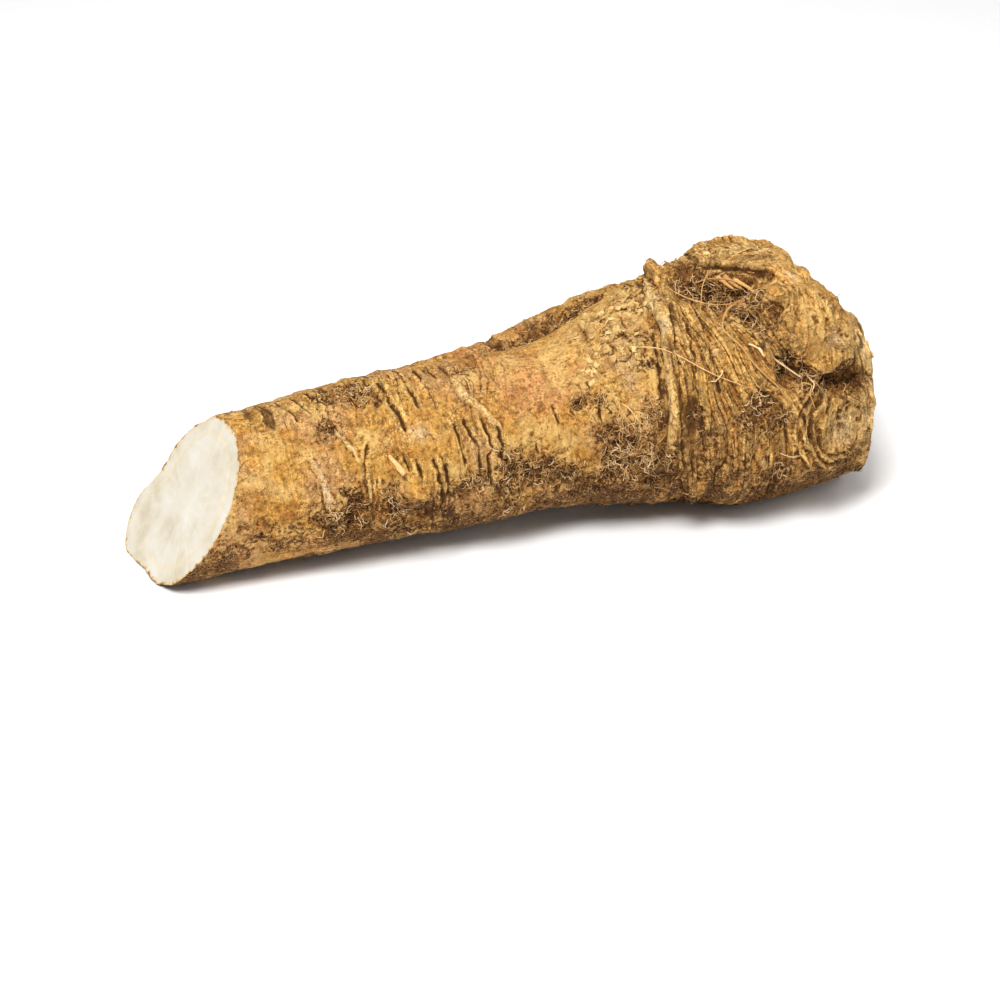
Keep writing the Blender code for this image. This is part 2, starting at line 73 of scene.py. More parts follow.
# Dark furrows: half width, depth, and the points they run through.
FURROWS = (
    (0.55, 1, (-40.5, -0.5, 49), (-39.8, -3.3, 48.3), (-38.8, -11.8, 46.2), (-37.2, -17, 42.6),
        (-36.6, -19.5, 39.5)),
    (0.45, 0.7, (-34.2, 4.9, 48.6), (-33.9, 2.9, 48.9), (-33.6, -7.2, 48.3), (-32.5, -12.3, 47),
        (-31.8, -15.4, 44.6)),
    (0.35, 0.5, (-36.8, 3, 48.8), (-36.5, -5, 48), (-35.6, -12, 45.8)),
    (0.35, 0.5, (-29.5, 4, 49.5), (-29, -5, 49), (-27.8, -12.5, 46.5), (-27, -17, 43)),
    (0.32, 0.6, (-59.9, 5.8, 44.8), (-58.2, -1.1, 46.1), (-56.4, -5.5, 46.8), (-54.5, -9.5, 46.2)),
    (0.3, 0.5, (-56, 6, 46), (-54.4, -1, 47), (-52.6, -6, 47.2), (-51, -10.5, 46)),
    (0.32, 0.6, (-64, 5, 44.4), (-62.3, -1.5, 45.4), (-60.5, -6.2, 45.6), (-59, -10, 44.6)),
    (0.3, 0.5, (-68, 4.4, 43.8), (-66.4, -2, 44.8), (-64.5, -6.5, 44.6), (-63.4, -9.6, 43.6)),
    (0.3, 0.5, (-44, 3, 48), (-43.4, -3, 48.4), (-42, -8.5, 47.6), (-40.8, -13, 45.6)),
    (0.3, 0.5, (-26.6, 4, 49), (-25.4, -3, 49.6), (-24, -8, 48.6)),
    (0.3, 0.6, (3.6, -18, 43.6), (4.4, -20.8, 40.4), (4.4, -22.6, 36), (3.6, -23.6, 31)),
    (0.3, 0.5, (9.2, -19.6, 42.6), (10, -22, 38), (10, -23.8, 32)),
    (0.45, 0.7, (-46, -16.5, 41), (-48.5, -20.5, 37.5), (-49.6, -23.6, 31.4), (-49.2, -24.2, 25),
        (-49, -23.2, 18.5), (-48.4, -20.8, 13)),
    (0.45, 0.9, (-35.8, -22.3, 36.5), (-34.8, -24, 31), (-33.6, -24.3, 26), (-33, -23.8, 22),
        (-32, -21.5, 15)),
    (0.45, 0.9, (-31.2, -22.4, 36.2), (-29.8, -24.2, 31), (-29.2, -24.8, 27), (-28.8, -24.4, 22),
        (-28, -22, 14)),
    (0.4, 0.9, (-29.4, -22.8, 36.4), (-27.4, -24.6, 31), (-27, -24.8, 26), (-28.2, -24.2, 21.5)),
    (0.35, 0.7, (-24.4, -18.4, 43), (-23.2, -21.8, 38.4), (-22.6, -24, 33), (-22.4, -24.6, 28)),
    (0.45, 0.9, (-21.6, -17, 44.2), (-20, -20.4, 40.4), (-18.6, -22.6, 36.5), (-18, -24.4, 32.5),
        (-17.6, -25.4, 28)),
    (0.4, 0.9, (-17.4, -17.6, 43.8), (-15.6, -20.8, 40.4), (-14.8, -22.6, 37), (-15.6, -24.8, 31.5),
        (-15.6, -25.6, 26), (-15, -24.4, 19)),
    (0.4, 0.8, (-13, -19.6, 41.6), (-11.6, -22.6, 37), (-11.4, -24.4, 32), (-11.2, -24.4, 26)),
    (0.35, 0.6, (-38.6, -21.4, 37.4), (-37.8, -23.6, 32), (-37.2, -24, 27), (-36.8, -23.6, 22)),
    (0.45, 0.8, (-9.2, -23.6, 34), (-9, -24.8, 28), (-9.6, -23.9, 20), (-9.2, -20.5, 13)),
    (0.4, 0.7, (-2.2, -23.3, 35), (-1, -24, 29), (-0.6, -23.3, 21)),
    (0.5, 0.8, (7.2, -23.4, 33), (6.4, -24, 26), (6.8, -22.6, 18)),
    (0.45, 0.7, (13.5, -15.5, 47), (15.4, -18.6, 46), (16.6, -24.2, 38), (17, -26.1, 32),
        (16.6, -25.4, 24)),
    (0.5, 0.8, (33.2, -10.2, 61.5), (33.6, -16.6, 57.7), (33, -22, 52.5), (32.6, -25.6, 47.5),
        (32, -28.6, 41), (31.4, -29, 33)),
    (0.6, 1, (40.2, -9, 65), (39.8, -13.3, 64.9), (38, -21.5, 60.5), (36.9, -27.5, 53.4),
        (36.6, -31.5, 46), (36.4, -33.8, 36), (37.6, -33.6, 26), (40.4, -30.5, 16)),
    (0.4, 0.6, (43.4, -11.5, 64.3), (42.4, -20, 60.5), (41.4, -28.2, 53.5), (41.2, -32.4, 44.5),
        (41.8, -33.6, 34), (43.6, -32.4, 22)),
    (0.4, 0.6, (47.4, -12.5, 63), (46.4, -20.6, 60.6), (46, -28, 55.5), (46.8, -33.2, 47),
        (47.6, -35.2, 37), (48.6, -34.4, 26)),
    (0.28, 0.5, (37, -33.4, 40), (37.4, -33.8, 32), (39, -32, 22), (43, -27.5, 12)),
    (0.28, 0.5, (39.2, -33.4, 42), (39.4, -34, 34), (41, -32.6, 24), (45, -28.5, 13)),
    (0.28, 0.5, (44.6, -34.4, 44), (44.4, -34.8, 34), (45.4, -33.8, 24), (48, -30, 13)),
    (0.35, 0.6, (51, -20, 62), (50.6, -27.4, 57.4), (52, -33.6, 50), (53.8, -36.8, 42.5)),
    (0.4, 0.6, (54.2, -25.5, 60.6), (55.4, -31, 55.8), (57.4, -34.6, 49.5), (60.2, -36.4, 44)),
    (0.8, 1.2, (50, 6, 68.2), (53.9, 1.4, 68.9), (56.7, -0.6, 68.6), (59.4, -2.9, 68.9),
        (62.2, -4.2, 69.2), (65.9, -6.2, 68.6), (69.6, -8.2, 67.8), (73.5, -9, 67.4)),
    (0.7, 1.2, (59.6, -30.6, 58.3), (63.3, -31.2, 54.2), (69.8, -27.8, 48.9), (73, -30.2, 47.3),
        (79.9, -26.2, 43.2), (84.4, -26.4, 42), (89.1, -25.8, 42), (93.4, -23.9, 43.7)),
    (0.45, 0.8, (94, -24, 43), (95.6, -25.8, 38), (96, -28, 30), (94.6, -28.8, 20), (92, -26, 13)),
    (0.45, 0.7, (59.5, -36, 20), (63.4, -35.2, 15), (70, -33.6, 12), (79, -31, 9)),
)

# Raised veins and flat roots: half width, height, how pale and how grey, and the points they run
# through.
VEINS = (
    ((0.35, 1.5), 0.4, 0.6, 0.8, (-63.2, -16.6, 38.6), (-61.6, -20.8, 34.8), (-60.3, -24, 30.4),
        (-59.8, -25, 26.6), (-59.6, -25, 24.6)),
    ((0.9, 0.3), 0.35, 0.5, 0.4, (-60.4, -25, 26.4), (-61.8, -24.8, 23.6), (-63.2, -24.2, 20.4)),
    ((0.9, 0.3), 0.35, 0.5, 0.4, (-59.4, -25, 26.2), (-57.4, -24.6, 24), (-55.4, -24, 22.6)),
    ((0.8, 0.3), 0.35, 0.4, 0.4, (-59.8, -25, 25.6), (-59.8, -24.8, 22.4), (-59, -23.8, 19)),
    (0.5, 0.4, 0.3, 0, (-63.4, -14, 40.2), (-63, -17.4, 38), (-62.2, -22.2, 32.6), (-62.2, -23.8, 26),
        (-64.6, -23.9, 22.6), (-64.7, -23, 17.7)),
    ((0.4, 0.8), 0.5, 0.8, 0.6, (-57.8, -13.5, 42.6), (-54.7, -16.7, 41.9), (-52.6, -18.6, 39.9),
        (-50.9, -21.2, 37.3), (-49.9, -23.1, 34.2)),
    (0.5, 0.45, 0.3, 0, (-49.9, -23.1, 34.2), (-49, -24.8, 29.2), (-49.2, -25, 24.1),
        (-49.6, -23.6, 18.5)),
    (0.45, 0.4, 0.3, 0, (-47.9, -22.6, 34.2), (-47.4, -24.2, 28), (-47.5, -23.8, 20.5)),
    (0.45, 0.4, 0.3, 0, (-46, -22.8, 32.4), (-45.4, -24.2, 27), (-45.9, -23.8, 20.6)),
    (1.1, 0.4, 0.7, 0, (-21.6, -6, 49.2), (-20.4, -9.3, 48.2), (-18.4, -14.4, 46.4),
        (-15.6, -17, 44.4), (-12.4, -20.6, 40.8), (-11, -22.4, 37)),
    ((2.1, 1.7), 0.9, 1, 0.25, (41, 9, 63), (38.8, 2.6, 64.4), (37.6, -4.8, 64), (37.2, -11.5, 63.4),
        (36.8, -19.6, 60.6), (36, -24.8, 52.6), (35.2, -29.9, 45.3), (34.6, -31.8, 38),
        (34.6, -31.8, 30.9), (36.6, -29.6, 20), (40.8, -28.8, 12.7)),
    (0.6, 0.4, 0.8, 0, (16, -12.5, 51.6), (17.8, -16.5, 49.6), (19.6, -19.8, 47), (21.2, -23.4, 43.4),
        (22.6, -26.6, 40.2)),
    (1.4, 0.6, 0, 0, (-13.4, -22.6, 37.4), (-13.6, -25, 31), (-13.2, -24.6, 25), (-12.6, -22.8, 19.5)),
    (1.2, 0.5, 0.2, 0, (58, -38, 33), (60, -37.2, 24), (66, -35.4, 17), (76, -34.4, 13.5),
        (86, -31, 13)),
    (1, 0.5, 0.3, 0, (88.6, -24.5, 56), (93.8, -26, 45), (95.6, -27.4, 34.5), (94.6, -28, 23)),
    (0.9, 0.6, 0.2, 0, (49, -20, 62.6), (52.6, -27.6, 58), (57, -33.4, 51), (60.4, -35.6, 46.4)),
    (0.9, 0.6, 0.1, 0, (46.4, -25, 59), (49.6, -31.6, 53.4), (52.6, -35.6, 48.6)),
    (0.8, 0.5, 0.3, 0, (74.4, -32.6, 42.6), (71.4, -35.4, 38.6), (70.8, -36.8, 32), (73.6, -37.4, 25)),
)

# Small pits: place, radius and depth.
PITS = (
    (-83.1, -23.2, 22.3, 1.5, 0.9), (-42.9, -11.2, 46.4, 0.7, 1), (-17.9, -4.4, 49.5, 1.3, 1.3),
    (-4.8, -23.2, 28.2, 1.8, 1.4), (11.8, -18.3, 41.6, 1.4, 1.4), (-57.5, -13.6, 43.4, 1.6, 1),
    (-54, -23.4, 19.5, 2, 1.2), (-41, -23.6, 19.5, 1.7, 1), (23.6, -29, 34, 2.3, 1.4),
    (30, -27.6, 42, 2, 1.2), (19, -25.6, 23, 2.2, 1.2), (57, -37, 41, 2.2, 1.2),
    (63, -36.2, 36, 2, 1.2), (67.7, -19.8, 63.2, 2.4, 1.2), (77, -27, 51, 2, 1),
    (54, -4.8, 62, 2.8, 1.6), (61.5, -8, 62.5, 2.6, 1.6),
)

# Ends of the shoot bases, rough rather than fibrous: place, radius and strength.
ENDS = (
    (77, -23, 59.5, 9, 1), (83, -26, 52, 7, 1), (71, -22, 62, 6, 0.9), (66, 6, 69.5, 9, 0.9),
    (76, 8, 67.5, 8, 0.9), (84, -33.4, 32.5, 8.5, 1), (76, -36, 26, 6, 0.8), (73.5, -35, 37, 4.5, 0.8),
    (84, -31, 17, 8, 0.8), (77.3, 32.8, 51.7, 10, 1), (81.8, 33.6, 21.3, 9, 1),
)

# Rough, dirty ground where fine roots grew: place, radius and strength. The last nine are on the
# hidden side.
ROUGH = (
    (-60.5, -24, 21.5, 4.5, 1), (-55.4, -23.6, 20.4, 5, 1), (-53, -23.4, 25.5, 3.6, 0.9),
    (-51.6, -23.6, 17.5, 4.4, 0.9), (-57.4, -13.2, 43.4, 2.8, 0.9), (-54, -4, 46.6, 3.4, 0.7),
    (-50.5, -3, 47, 3.4, 0.8), (-47, -2, 47.4, 3.6, 0.9), (-45.4, -7, 47, 3.2, 0.9),
    (-42.6, -23.9, 26, 3, 0.9), (-41.4, -23.8, 20.8, 3.6, 1), (-39.4, -21, 14, 3.5, 0.9),
    (-17.9, -5.4, 49.4, 2.6, 0.9), (-21, -24.6, 27, 3.2, 0.8), (-18, -25.4, 27, 3.4, 0.9),
    (-12, -24.6, 24, 3.6, 0.9), (-8.6, -24.4, 31, 4, 1), (-4.4, -22.6, 26.4, 5, 1),
    (1.6, -23.6, 27.5, 5, 0.9), (7.2, -23.6, 23.5, 5, 0.9), (-10, -22.5, 17, 5, 0.6),
    (11.8, -18.3, 41.4, 2.2, 0.9), (17.2, -21, 43.6, 2.6, 0.9), (19.4, -26, 35.5, 4, 1),
    (25.4, -29, 35, 5.5, 1), (29.6, -29, 41.5, 4, 0.8), (21, -26.4, 26, 5.5, 1),
    (29, -29.6, 28, 5.5, 1), (16, -25, 19, 4.5, 0.8), (31, -27, 18, 4.5, 0.9), (31, -15, 57.2, 3, 0.7),
    (29.4, -20.5, 52, 3, 0.9), (47, -3, 65.6, 4.5, 0.8), (52.3, -3.3, 63.8, 5, 1), (57, -6.4, 62, 5, 1),
    (62.1, -9.5, 61.5, 4.5, 1), (60, -18, 62.5, 4.5, 0.9), (64, -17, 64, 3.6, 0.9),
    (64, -23, 61, 4, 0.8), (60.5, -27, 57.5, 4.5, 0.8), (66.6, -29.4, 51, 4.5, 0.9),
    (73, -31, 46.5, 4, 0.9), (80.6, -29.6, 44.2, 3.4, 0.9), (88.6, -28, 42.5, 3, 0.9),
    (57.5, -36.8, 43.5, 4.5, 0.9), (62.6, -36.4, 38, 4.5, 0.9), (53, -37.4, 39.5, 3.6, 0.9),
    (57, -37, 33, 3, 0.6), (43.5, -33.6, 36, 3, 0.7), (40.4, -32.4, 42, 2.8, 0.9),
    (65.6, -34.6, 21.5, 4, 0.8), (60, -36, 14, 4, 0.6), (-24, 12, 44, 2.8, 0.8),
    (-16, 12.6, 44.6, 2.8, 0.9), (-8, 14.6, 44.4, 3.2, 1), (0, 16.4, 44.6, 3.2, 1),
    (7.6, 17.6, 46, 3, 1), (15.2, 18, 48.2, 3.2, 1), (22.6, 18.4, 50.8, 3.2, 1),
    (29.6, 18, 53.8, 3.2, 1), (-30, 26, 20, 5, 0.8), (-62, 19, 14, 4.5, 0.8), (5, 29, 22, 5.5, 0.9),
    (28, 30, 24, 6, 0.9), (46, 30, 40, 6, 0.8), (66, 30, 34, 6.5, 1), (90, 25, 36, 4.5, 0.9),
    (18, -12, 5, 6, 0.6), (-35, 4, 3.5, 6, 0.6),
)

# Crumbling bark: place, radius and strength.
FLAKY = (
    (25, -13.5, 55.8, 7, 1), (21.5, -2.5, 57, 7, 0.9), (32.5, -4.5, 62.2, 6.5, 1),
    (34, 4, 62.5, 6, 0.9), (18, -14.5, 50.5, 4, 0.8), (60, 10, 68, 7, 0.7), (72, 4, 69.5, 7, 0.6),
    (82, -20, 62, 6, 0.5), (50, 22, 58, 8, 0.8), (100, -12, 40, 9, 0.3), (100, 6, 24, 9, 0.3),
)

# Dried scars and the old rings round them: place, radii between which the rings lie, distance
# between rings, their height, and the way that the rings face, or none where they go right round.
SCARS = (
    (74, 12, 67.6, 4, 7, 1.9, 0.35, None), (83, -27.4, 54, 2.4, 4.2, 1.5, 0.4, None),
    (84, -33.2, 32.5, 7.6, 16.5, 2.6, 1.25, (-0.8, 0, -0.55)),
    (84, -33.2, 32.5, 6.8, 9.4, 1.7, 0.4, (0.1, 0, 1)), (77.3, 32.8, 51.7, 5, 12, 2.4, 0.4, None),
    (81.8, 33.6, 21.3, 5, 12, 2.4, 0.4, None), (100.6, -6.7, 32, 14, 27, 3.1, 0.22, None),
)

# Coloured and shaded ground: place, radius and strength.
PINK = (
    (-2, -13, 46.6, 8, 1), (-10.8, -3, 50, 5, 0.8), (6, -10, 48.6, 7, 0.7), (14.6, -11.2, 50.4, 6, 0.5),
    (-22, 14, 43.5, 8, 0.8), (-8, 22, 42, 8, 0.7), (6, 24, 44, 6, 0.6), (-30, -4, 48.6, 5, 0.5),
    (-52, 6, 46, 6, 0.4), (-20, 26, 22, 12, 0.4),
)
ORANGE = (
    (4, -19, 41, 9, 1), (-6, -18, 42.5, 7, 0.8), (12, -13, 47, 6, 0.7), (-34, -19, 41, 6, 0.9),
    (-41, -18.5, 40, 5, 0.7), (-27, -20.5, 38.5, 5, 0.8), (-66, -14, 40.5, 5, 0.5),
    (-72, -22.4, 24, 5, 0.5), (-80, -12, 41, 4, 0.4), (58, -30, 56, 5, 0.4), (70, -28, 55, 4, 0.6),
    (78, -34.5, 40, 4, 0.6), (40, -30, 14, 7, 0.4), (20, 26, 34, 12, 0.5), (-50, 16, 30, 10, 0.4),
)
PALE = (
    (-33.2, -19.4, 40.9, 2.6, 0.8), (25, -13.5, 55.8, 6, 0.7), (32.5, -4.5, 62.2, 6, 0.6),
    (21.5, -2.5, 57, 6, 0.4), (88, -31, 33, 5, 0.5), (85, -33, 30, 4, 0.4), (94.4, -13, 54, 5, 0.9),
    (95.4, -20, 48.5, 5, 1), (95.6, -26, 39.6, 5, 1), (95.4, -29.2, 29.5, 5, 1),
    (94.4, -29.6, 22.5, 4.5, 0.8), (66, 10, 67.6, 6, 0.4), (75, 12, 66.8, 5, 0.5),
)
GREY = (
    (23.8, -18.6, 51.6, 2.6, 0.9), (25.6, -21.4, 48, 2.2, 0.8), (82.4, -27.9, 55.2, 3, 0.7),
    (85, -33.2, 31, 4.5, 0.5), (76.4, -9.4, 67.5, 2, 0.8), (-33.2, -19.4, 40.9, 1.8, 0.7),
    (37.4, -9.5, 63.8, 3, 0.8), (37, -18.6, 61.4, 3, 1), (36.2, -24, 55, 2.6, 0.9),
)
SHADED = (
    (48.5, 2, 66.8, 4, 0.7), (52.3, -3.3, 63.8, 4.5, 0.9), (56.5, -5.7, 61.6, 5, 1.1),
    (60, -6.4, 65.2, 4.5, 1.1), (65.3, -7.8, 67, 2.2, 0.8), (70, -9, 67.6, 1.4, 0.7),
    (62.1, -8.9, 61.5, 4, 1), (67.7, -19.8, 63.4, 2.4, 0.4), (66.6, -29, 51, 3.6, 0.9),
    (73, -29.4, 47, 3.4, 1), (79.9, -26.8, 43.6, 3.2, 1.2), (84.6, -27, 42, 3.2, 1.2),
    (90, -26.4, 41.8, 3.2, 1.2), (58.5, -36.5, 42.5, 4, 0.4), (-42.9, -11.2, 46.4, 0.8, 1.3),
    (-58.5, -24.2, 19, 5, 0.5), (-51.6, -23.6, 24, 4, 0.55), (-41.4, -24, 21.5, 3.6, 0.45),
    (-33, -23, 17, 4, 0.3), (-57, -13.4, 43.4, 2.2, 0.4), (-48.5, -3.4, 47.4, 4, 0.3),
    (-20, -25, 26.5, 3, 0.35), (-4.6, -22.8, 27, 4.6, 0.6), (2, -23.6, 24, 4, 0.45),
    (19.6, -26.4, 34, 3.6, 0.55), (25.4, -29, 34, 5, 0.45), (21, -26.4, 25, 5, 0.5),
    (29.6, -29.6, 26, 5, 0.55), (32, -28.4, 39, 2.6, 0.6), (-9.4, -24.4, 29.5, 2.8, 1.15),
    (-4.4, -22, 26, 2.8, 1), (-19.4, -25, 27.5, 1.8, 0.8), (29.8, -30.5, 29.5, 3.2, 0.95),
    (31.6, -29.4, 23.6, 3.2, 0.95), (20.8, -27, 33.6, 2.4, 0.9), (-53.2, -23.6, 25, 2.2, 0.9),
    (-41.4, -24, 23, 2, 0.8), (-24, 12, 44, 2.4, 0.5), (-16, 12.6, 44.6, 2.6, 0.6),
    (-8, 14.6, 44.4, 3, 0.7), (0, 16.4, 44.6, 3, 0.7), (7.6, 17.6, 46, 3, 0.7),
    (15.2, 18, 48.2, 3, 0.7), (22.6, 18.4, 50.8, 3, 0.7), (29.6, 18, 53.8, 3, 0.7),
)

# Tufts of fine roots: place, how wide, how many, how long, and the share of pale ones.
TUFTS = (
    (-59.6, -24.4, 22.5, 3.6, 70, 3.6, 0.6), (-54.4, -23.8, 20.4, 4.2, 60, 3.4, 0.45),
    (-52, -24, 25.5, 3, 30, 3, 0.4), (-57.4, -13.2, 43.4, 2.6, 34, 2.6, 0.3),
    (-51, -3.4, 47, 3.4, 40, 3.2, 0.45), (-46.4, -4.4, 47.4, 3.6, 60, 3.6, 0.5),
    (-42.4, -24, 25, 2.6, 34, 3.2, 0.5), (-41, -23.8, 20.6, 3, 50, 3.4, 0.5),
    (-39, -21, 14, 3, 24, 3.2, 0.4), (-17.9, -5.4, 49.4, 2.2, 20, 2.4, 0.3),
    (-20, -24.8, 27, 3.4, 50, 3.4, 0.6), (-12, -24.6, 24, 3.4, 30, 3.4, 0.5),
    (-8.6, -24.4, 31, 3.6, 70, 3.8, 0.6), (-4.4, -22.8, 26.6, 4.4, 110, 4.4, 0.6),
    (2.6, -23.6, 27, 4.4, 70, 4.4, 0.6), (8, -23.6, 24.5, 4.4, 50, 4.4, 0.5),
    (-10, -22.5, 17, 4.5, 30, 3.6, 0.4), (11.8, -18.3, 41.4, 1.8, 16, 2.2, 0.3),
    (17.2, -21, 43.6, 2.2, 20, 2.6, 0.4), (19.6, -26, 35, 3.6, 60, 4.6, 0.6),
    (25.4, -29, 35, 4.6, 130, 5.2, 0.65), (29.6, -29, 41.5, 3.6, 50, 4.6, 0.6),
    (21, -26.4, 26, 5, 100, 5, 0.6), (29, -29.6, 28, 5, 120, 5.2, 0.6), (31, -27, 18, 4, 40, 4.4, 0.5),
    (47, -2, 66, 4, 50, 5.5, 0.55), (52.3, -3.3, 64, 4.6, 90, 6, 0.6),
    (57.5, -6.6, 62.4, 4, 90, 6, 0.6), (62, -12, 63, 4, 60, 5.5, 0.6), (62, -21, 62, 4, 40, 4.5, 0.5),
    (66.6, -29.4, 51, 3.4, 40, 4.5, 0.6), (73.4, -31.6, 46.4, 3, 50, 4.6, 0.7),
    (82, -29.6, 44, 3.4, 24, 3.6, 0.5), (56.5, -37, 43, 4, 60, 3.4, 0.5),
    (62.6, -36.4, 38, 4, 40, 3.6, 0.5), (65.6, -34.6, 21.5, 3.4, 20, 4.4, 0.5),
    (43.5, -33.6, 36, 2.4, 16, 3, 0.5), (40.4, -32.6, 41.6, 2.2, 24, 2.6, 0.3),
    (-20, 12.4, 44.6, 4, 30, 3, 0.3), (-6, 15, 44.6, 4, 40, 3, 0.3), (6, 17.4, 45.8, 4, 40, 3, 0.3),
    (18, 18.2, 49.2, 4, 40, 3, 0.3), (28.6, 18, 53.4, 3.6, 36, 3.2, 0.35),
    (-30, 26, 20, 5, 36, 4.5, 0.4), (-62, 19, 14, 4.5, 30, 4, 0.4), (5, 29, 22, 5.5, 44, 5, 0.4),
    (28, 30, 24, 6, 60, 5, 0.4), (66, 30, 34, 6, 60, 5, 0.4), (90, 25, 36, 4.5, 30, 5, 0.4),
)

# Long rootlets that lie across the crown: thickness, paleness, and points with the height that
# each stands off the skin.
ROOTLETS = (
    (0.3, 0.8, (29.7, -16.9, 56.3, 0.4), (35.3, -24.8, 57.7, 1.2), (45, -30.5, 52, 0.9),
        (53.1, -35.1, 49.6, 0.5), (57, -36.2, 47, -0.2)),
    (0.6, 0.6, (57.6, -11.7, 66.5, 0), (54, -17, 63.8, 1.4), (51.4, -24.4, 61.4, 1.2),
        (53.1, -30.2, 57.9, 1), (57.4, -33.6, 52.6, 1), (61.4, -34.8, 48.1, 1),
        (65, -35.7, 43.4, 0.2)),
    (0.6, 0.9, (58.4, -30.6, 57.6, 0.1), (71.8, -31.4, 46.6, 0.5)),
    (0.5, 0.9, (56.2, -29.8, 58.8, 0.2), (58.6, -30.8, 57.2, 0.9), (60.6, -31.2, 55.6, 0)),
    (0.4, 0.9, (47.6, -31.4, 52.9, -0.2), (48, -31.9, 51.8, 1), (46.8, -32.2, 50.6, 1.3),
        (45.3, -31.9, 49.8, 0.9)),
    (0.3, 0.65, (54.6, -3, 69.4, 0.4), (51, -8, 68, 2), (48.6, -13, 64.6, 1),
        (46.6, -16.4, 62.2, 0.2)),
    (0.34, 0.6, (49, -4, 67, 0.4), (56, -7, 68.6, 1.4), (62, -12, 67.2, 1), (66, -18, 64.6, 0)),
    (0.3, 0.7, (42, -6, 65.8, 0.2), (46.4, -10, 66.6, 1.4), (52, -12.6, 65.6, 1.6),
        (59, -14, 65.6, 0.6)),
    (0.35, 0.7, (72, -31, 46, 0), (73.6, -33.2, 45.4, 1.2), (72.8, -34.8, 43, 1),
        (74.4, -35.6, 38.8, 0.3)),
    (0.45, 0.9, (73, -30.6, 47.2, -0.2), (74.2, -33.2, 45.6, 1.3), (74, -34.6, 43.6, 0.2)),
    (0.25, 0.4, (61, -35.6, 43, 0.3), (60, -37, 36, 0.9), (62.6, -36.4, 30, 0.6),
        (65.4, -35.2, 27.4, 0)),
    (0.3, 0.8, (65, -35, 26.4, 0.2), (68.6, -34.8, 25.6, 0.8), (73, -35.2, 26.4, 0.2)),
    (0.35, 0.8, (22.8, -24.4, 43.4, 0.2), (24.6, -26.6, 41.4, 0.9), (26.2, -27.6, 38.6, 0.7),
        (28.8, -28.8, 35.4, 0.2)),
    (0.3, 0.7, (21.2, -23.6, 43.6, 0.2), (22.6, -26.8, 40.4, 0.8), (25.4, -28.4, 36.6, 0.9),
        (24.2, -28, 32.8, 0.3)),
    (0.3, 0.2, (-33.3, -21.1, 16.7, 0.1), (-27.8, -23.7, 20, 0.5), (-21.6, -23.6, 22.9, 0.1)),
    (0.3, 0.6, (34, -31, 36, 0.2), (29, -30, 32, 0.9), (24, -27.6, 29.6, 0.8), (20, -26, 26.4, 0.1)),
)

# Broken ends of side roots: foot, the way they point, length, radius at the foot and near the tip,
# and paleness.
STUMPS = (
    ((-42.6, -21.6, 36.8), (0.5, -0.4, -0.7), 6.6, 0.4, 0.95, 0.8),
    ((-39.6, -24.2, 28.6), (0.1, -0.8, -0.6), 2.2, 0.7, 0.6, 0.6),
    ((56.6, -3.6, 67), (0.45, -0.85, -0.3), 6.5, 0.8, 0.3, 0.66),
    ((59, -4.6, 67), (0.55, -0.8, -0.2), 6, 0.9, 0.25, 0.6),
    ((61.6, -6.4, 66.4), (0.62, -0.78, -0.25), 5, 0.75, 0.3, 0.72),
    ((24, -28, 37), (-0.2, -0.8, -0.4), 2.6, 0.6, 0.5, 0.3),
    ((-3, -23.6, 27), (0.2, -0.9, -0.3), 2.2, 0.7, 0.5, 0.2),
    ((64, 31, 34), (0.2, 0.9, 0.2), 4, 1, 0.8, 0.4),
    ((26, 30, 26), (-0.3, 0.9, -0.2), 3.6, 0.9, 0.7, 0.3),
)


def lattice_noise(points, seed):
    """Smooth noise between -1 and 1 on a lattice with cells one unit wide."""
    cell = np.floor(points).astype(np.int64)
    part = points - cell
    part = part * part * part * (part * (part * 6 - 15) + 10)
    total = np.zeros(len(points))
    for corner in range(8):
        step = np.array((corner & 1, corner >> 1 & 1, corner >> 2))
        x, y, z = (cell + step).T
        mixed = (x * 73856093) ^ (y * 19349663) ^ (z * 83492791) ^ (seed * 26544357)
        mixed = (mixed & 0x7FFFFFFF) * 1103515245 + 12345
        mixed = ((mixed >> 11) ^ mixed) & 0x7FFFFFFF
        mixed = (mixed * 69069 + 1) >> 7 & 0xFFFF
        weight = np.prod(np.where(step, part, 1 - part), axis=1)
        total += weight * (mixed / 32767.5 - 1)
    return total


def fractal(points, size, octaves, seed):
    """Noise whose largest shapes are this size, or this size along each axis."""
    total, amount, reach = 0, 1.0, 0.0
    scaled = points / np.array(size, float)
    for octave in range(octaves):
        total = total + amount * lattice_noise(scaled + 17.3 * octave, seed + octave)
        reach += amount
        scaled, amount = scaled * 2, amount / 2
    return total / reach * 1.6


def bell(distance, width):
    """1 at no distance, falling off to nothing past about two widths."""
    return np.exp(-((distance / width) ** 2))


def ramp(value, low, high):
    """0 below low and 1 above high, with a smooth rise between."""
    t = np.clip((value - low) / (high - low), 0, 1)
    return t * t * (3 - 2 * t)


def window(value, low, high, soft):
    """1 between low and high and 0 outside, with soft ends."""
    return ramp(value, low - soft, low + soft) * (1 - ramp(value, high - soft, high + soft))


def brush(points, rows):
    """How strongly each point is touched by a table of round brushes."""
    total = np.zeros(len(points))
    for *place, radius, strength in rows:
        near = np.abs(points - place).max(axis=1) < 2.6 * radius
        distance = np.linalg.norm(points[near] - place, axis=1)
        total[near] = np.maximum(total[near], strength * bell(distance, radius))
    return total


def smooth_path(path, count=6):
    """A denser line through these points."""
    path = np.array(path, float)
    ends = np.vstack((2 * path[0] - path[1], path, 2 * path[-1] - path[-2]))
    made = []
    for a, b, c, d in zip(ends, ends[1:], ends[2:], ends[3:]):
        for t in np.arange(count) / count:
            made.append(
                b
                + 0.5 * t * (c - a)
                + t * t * (a - 2.5 * b + 2 * c - 0.5 * d)
                + t**3 * (1.5 * (b - c) + 0.5 * (d - a))
            )
    return np.array(made + [path[-1]])


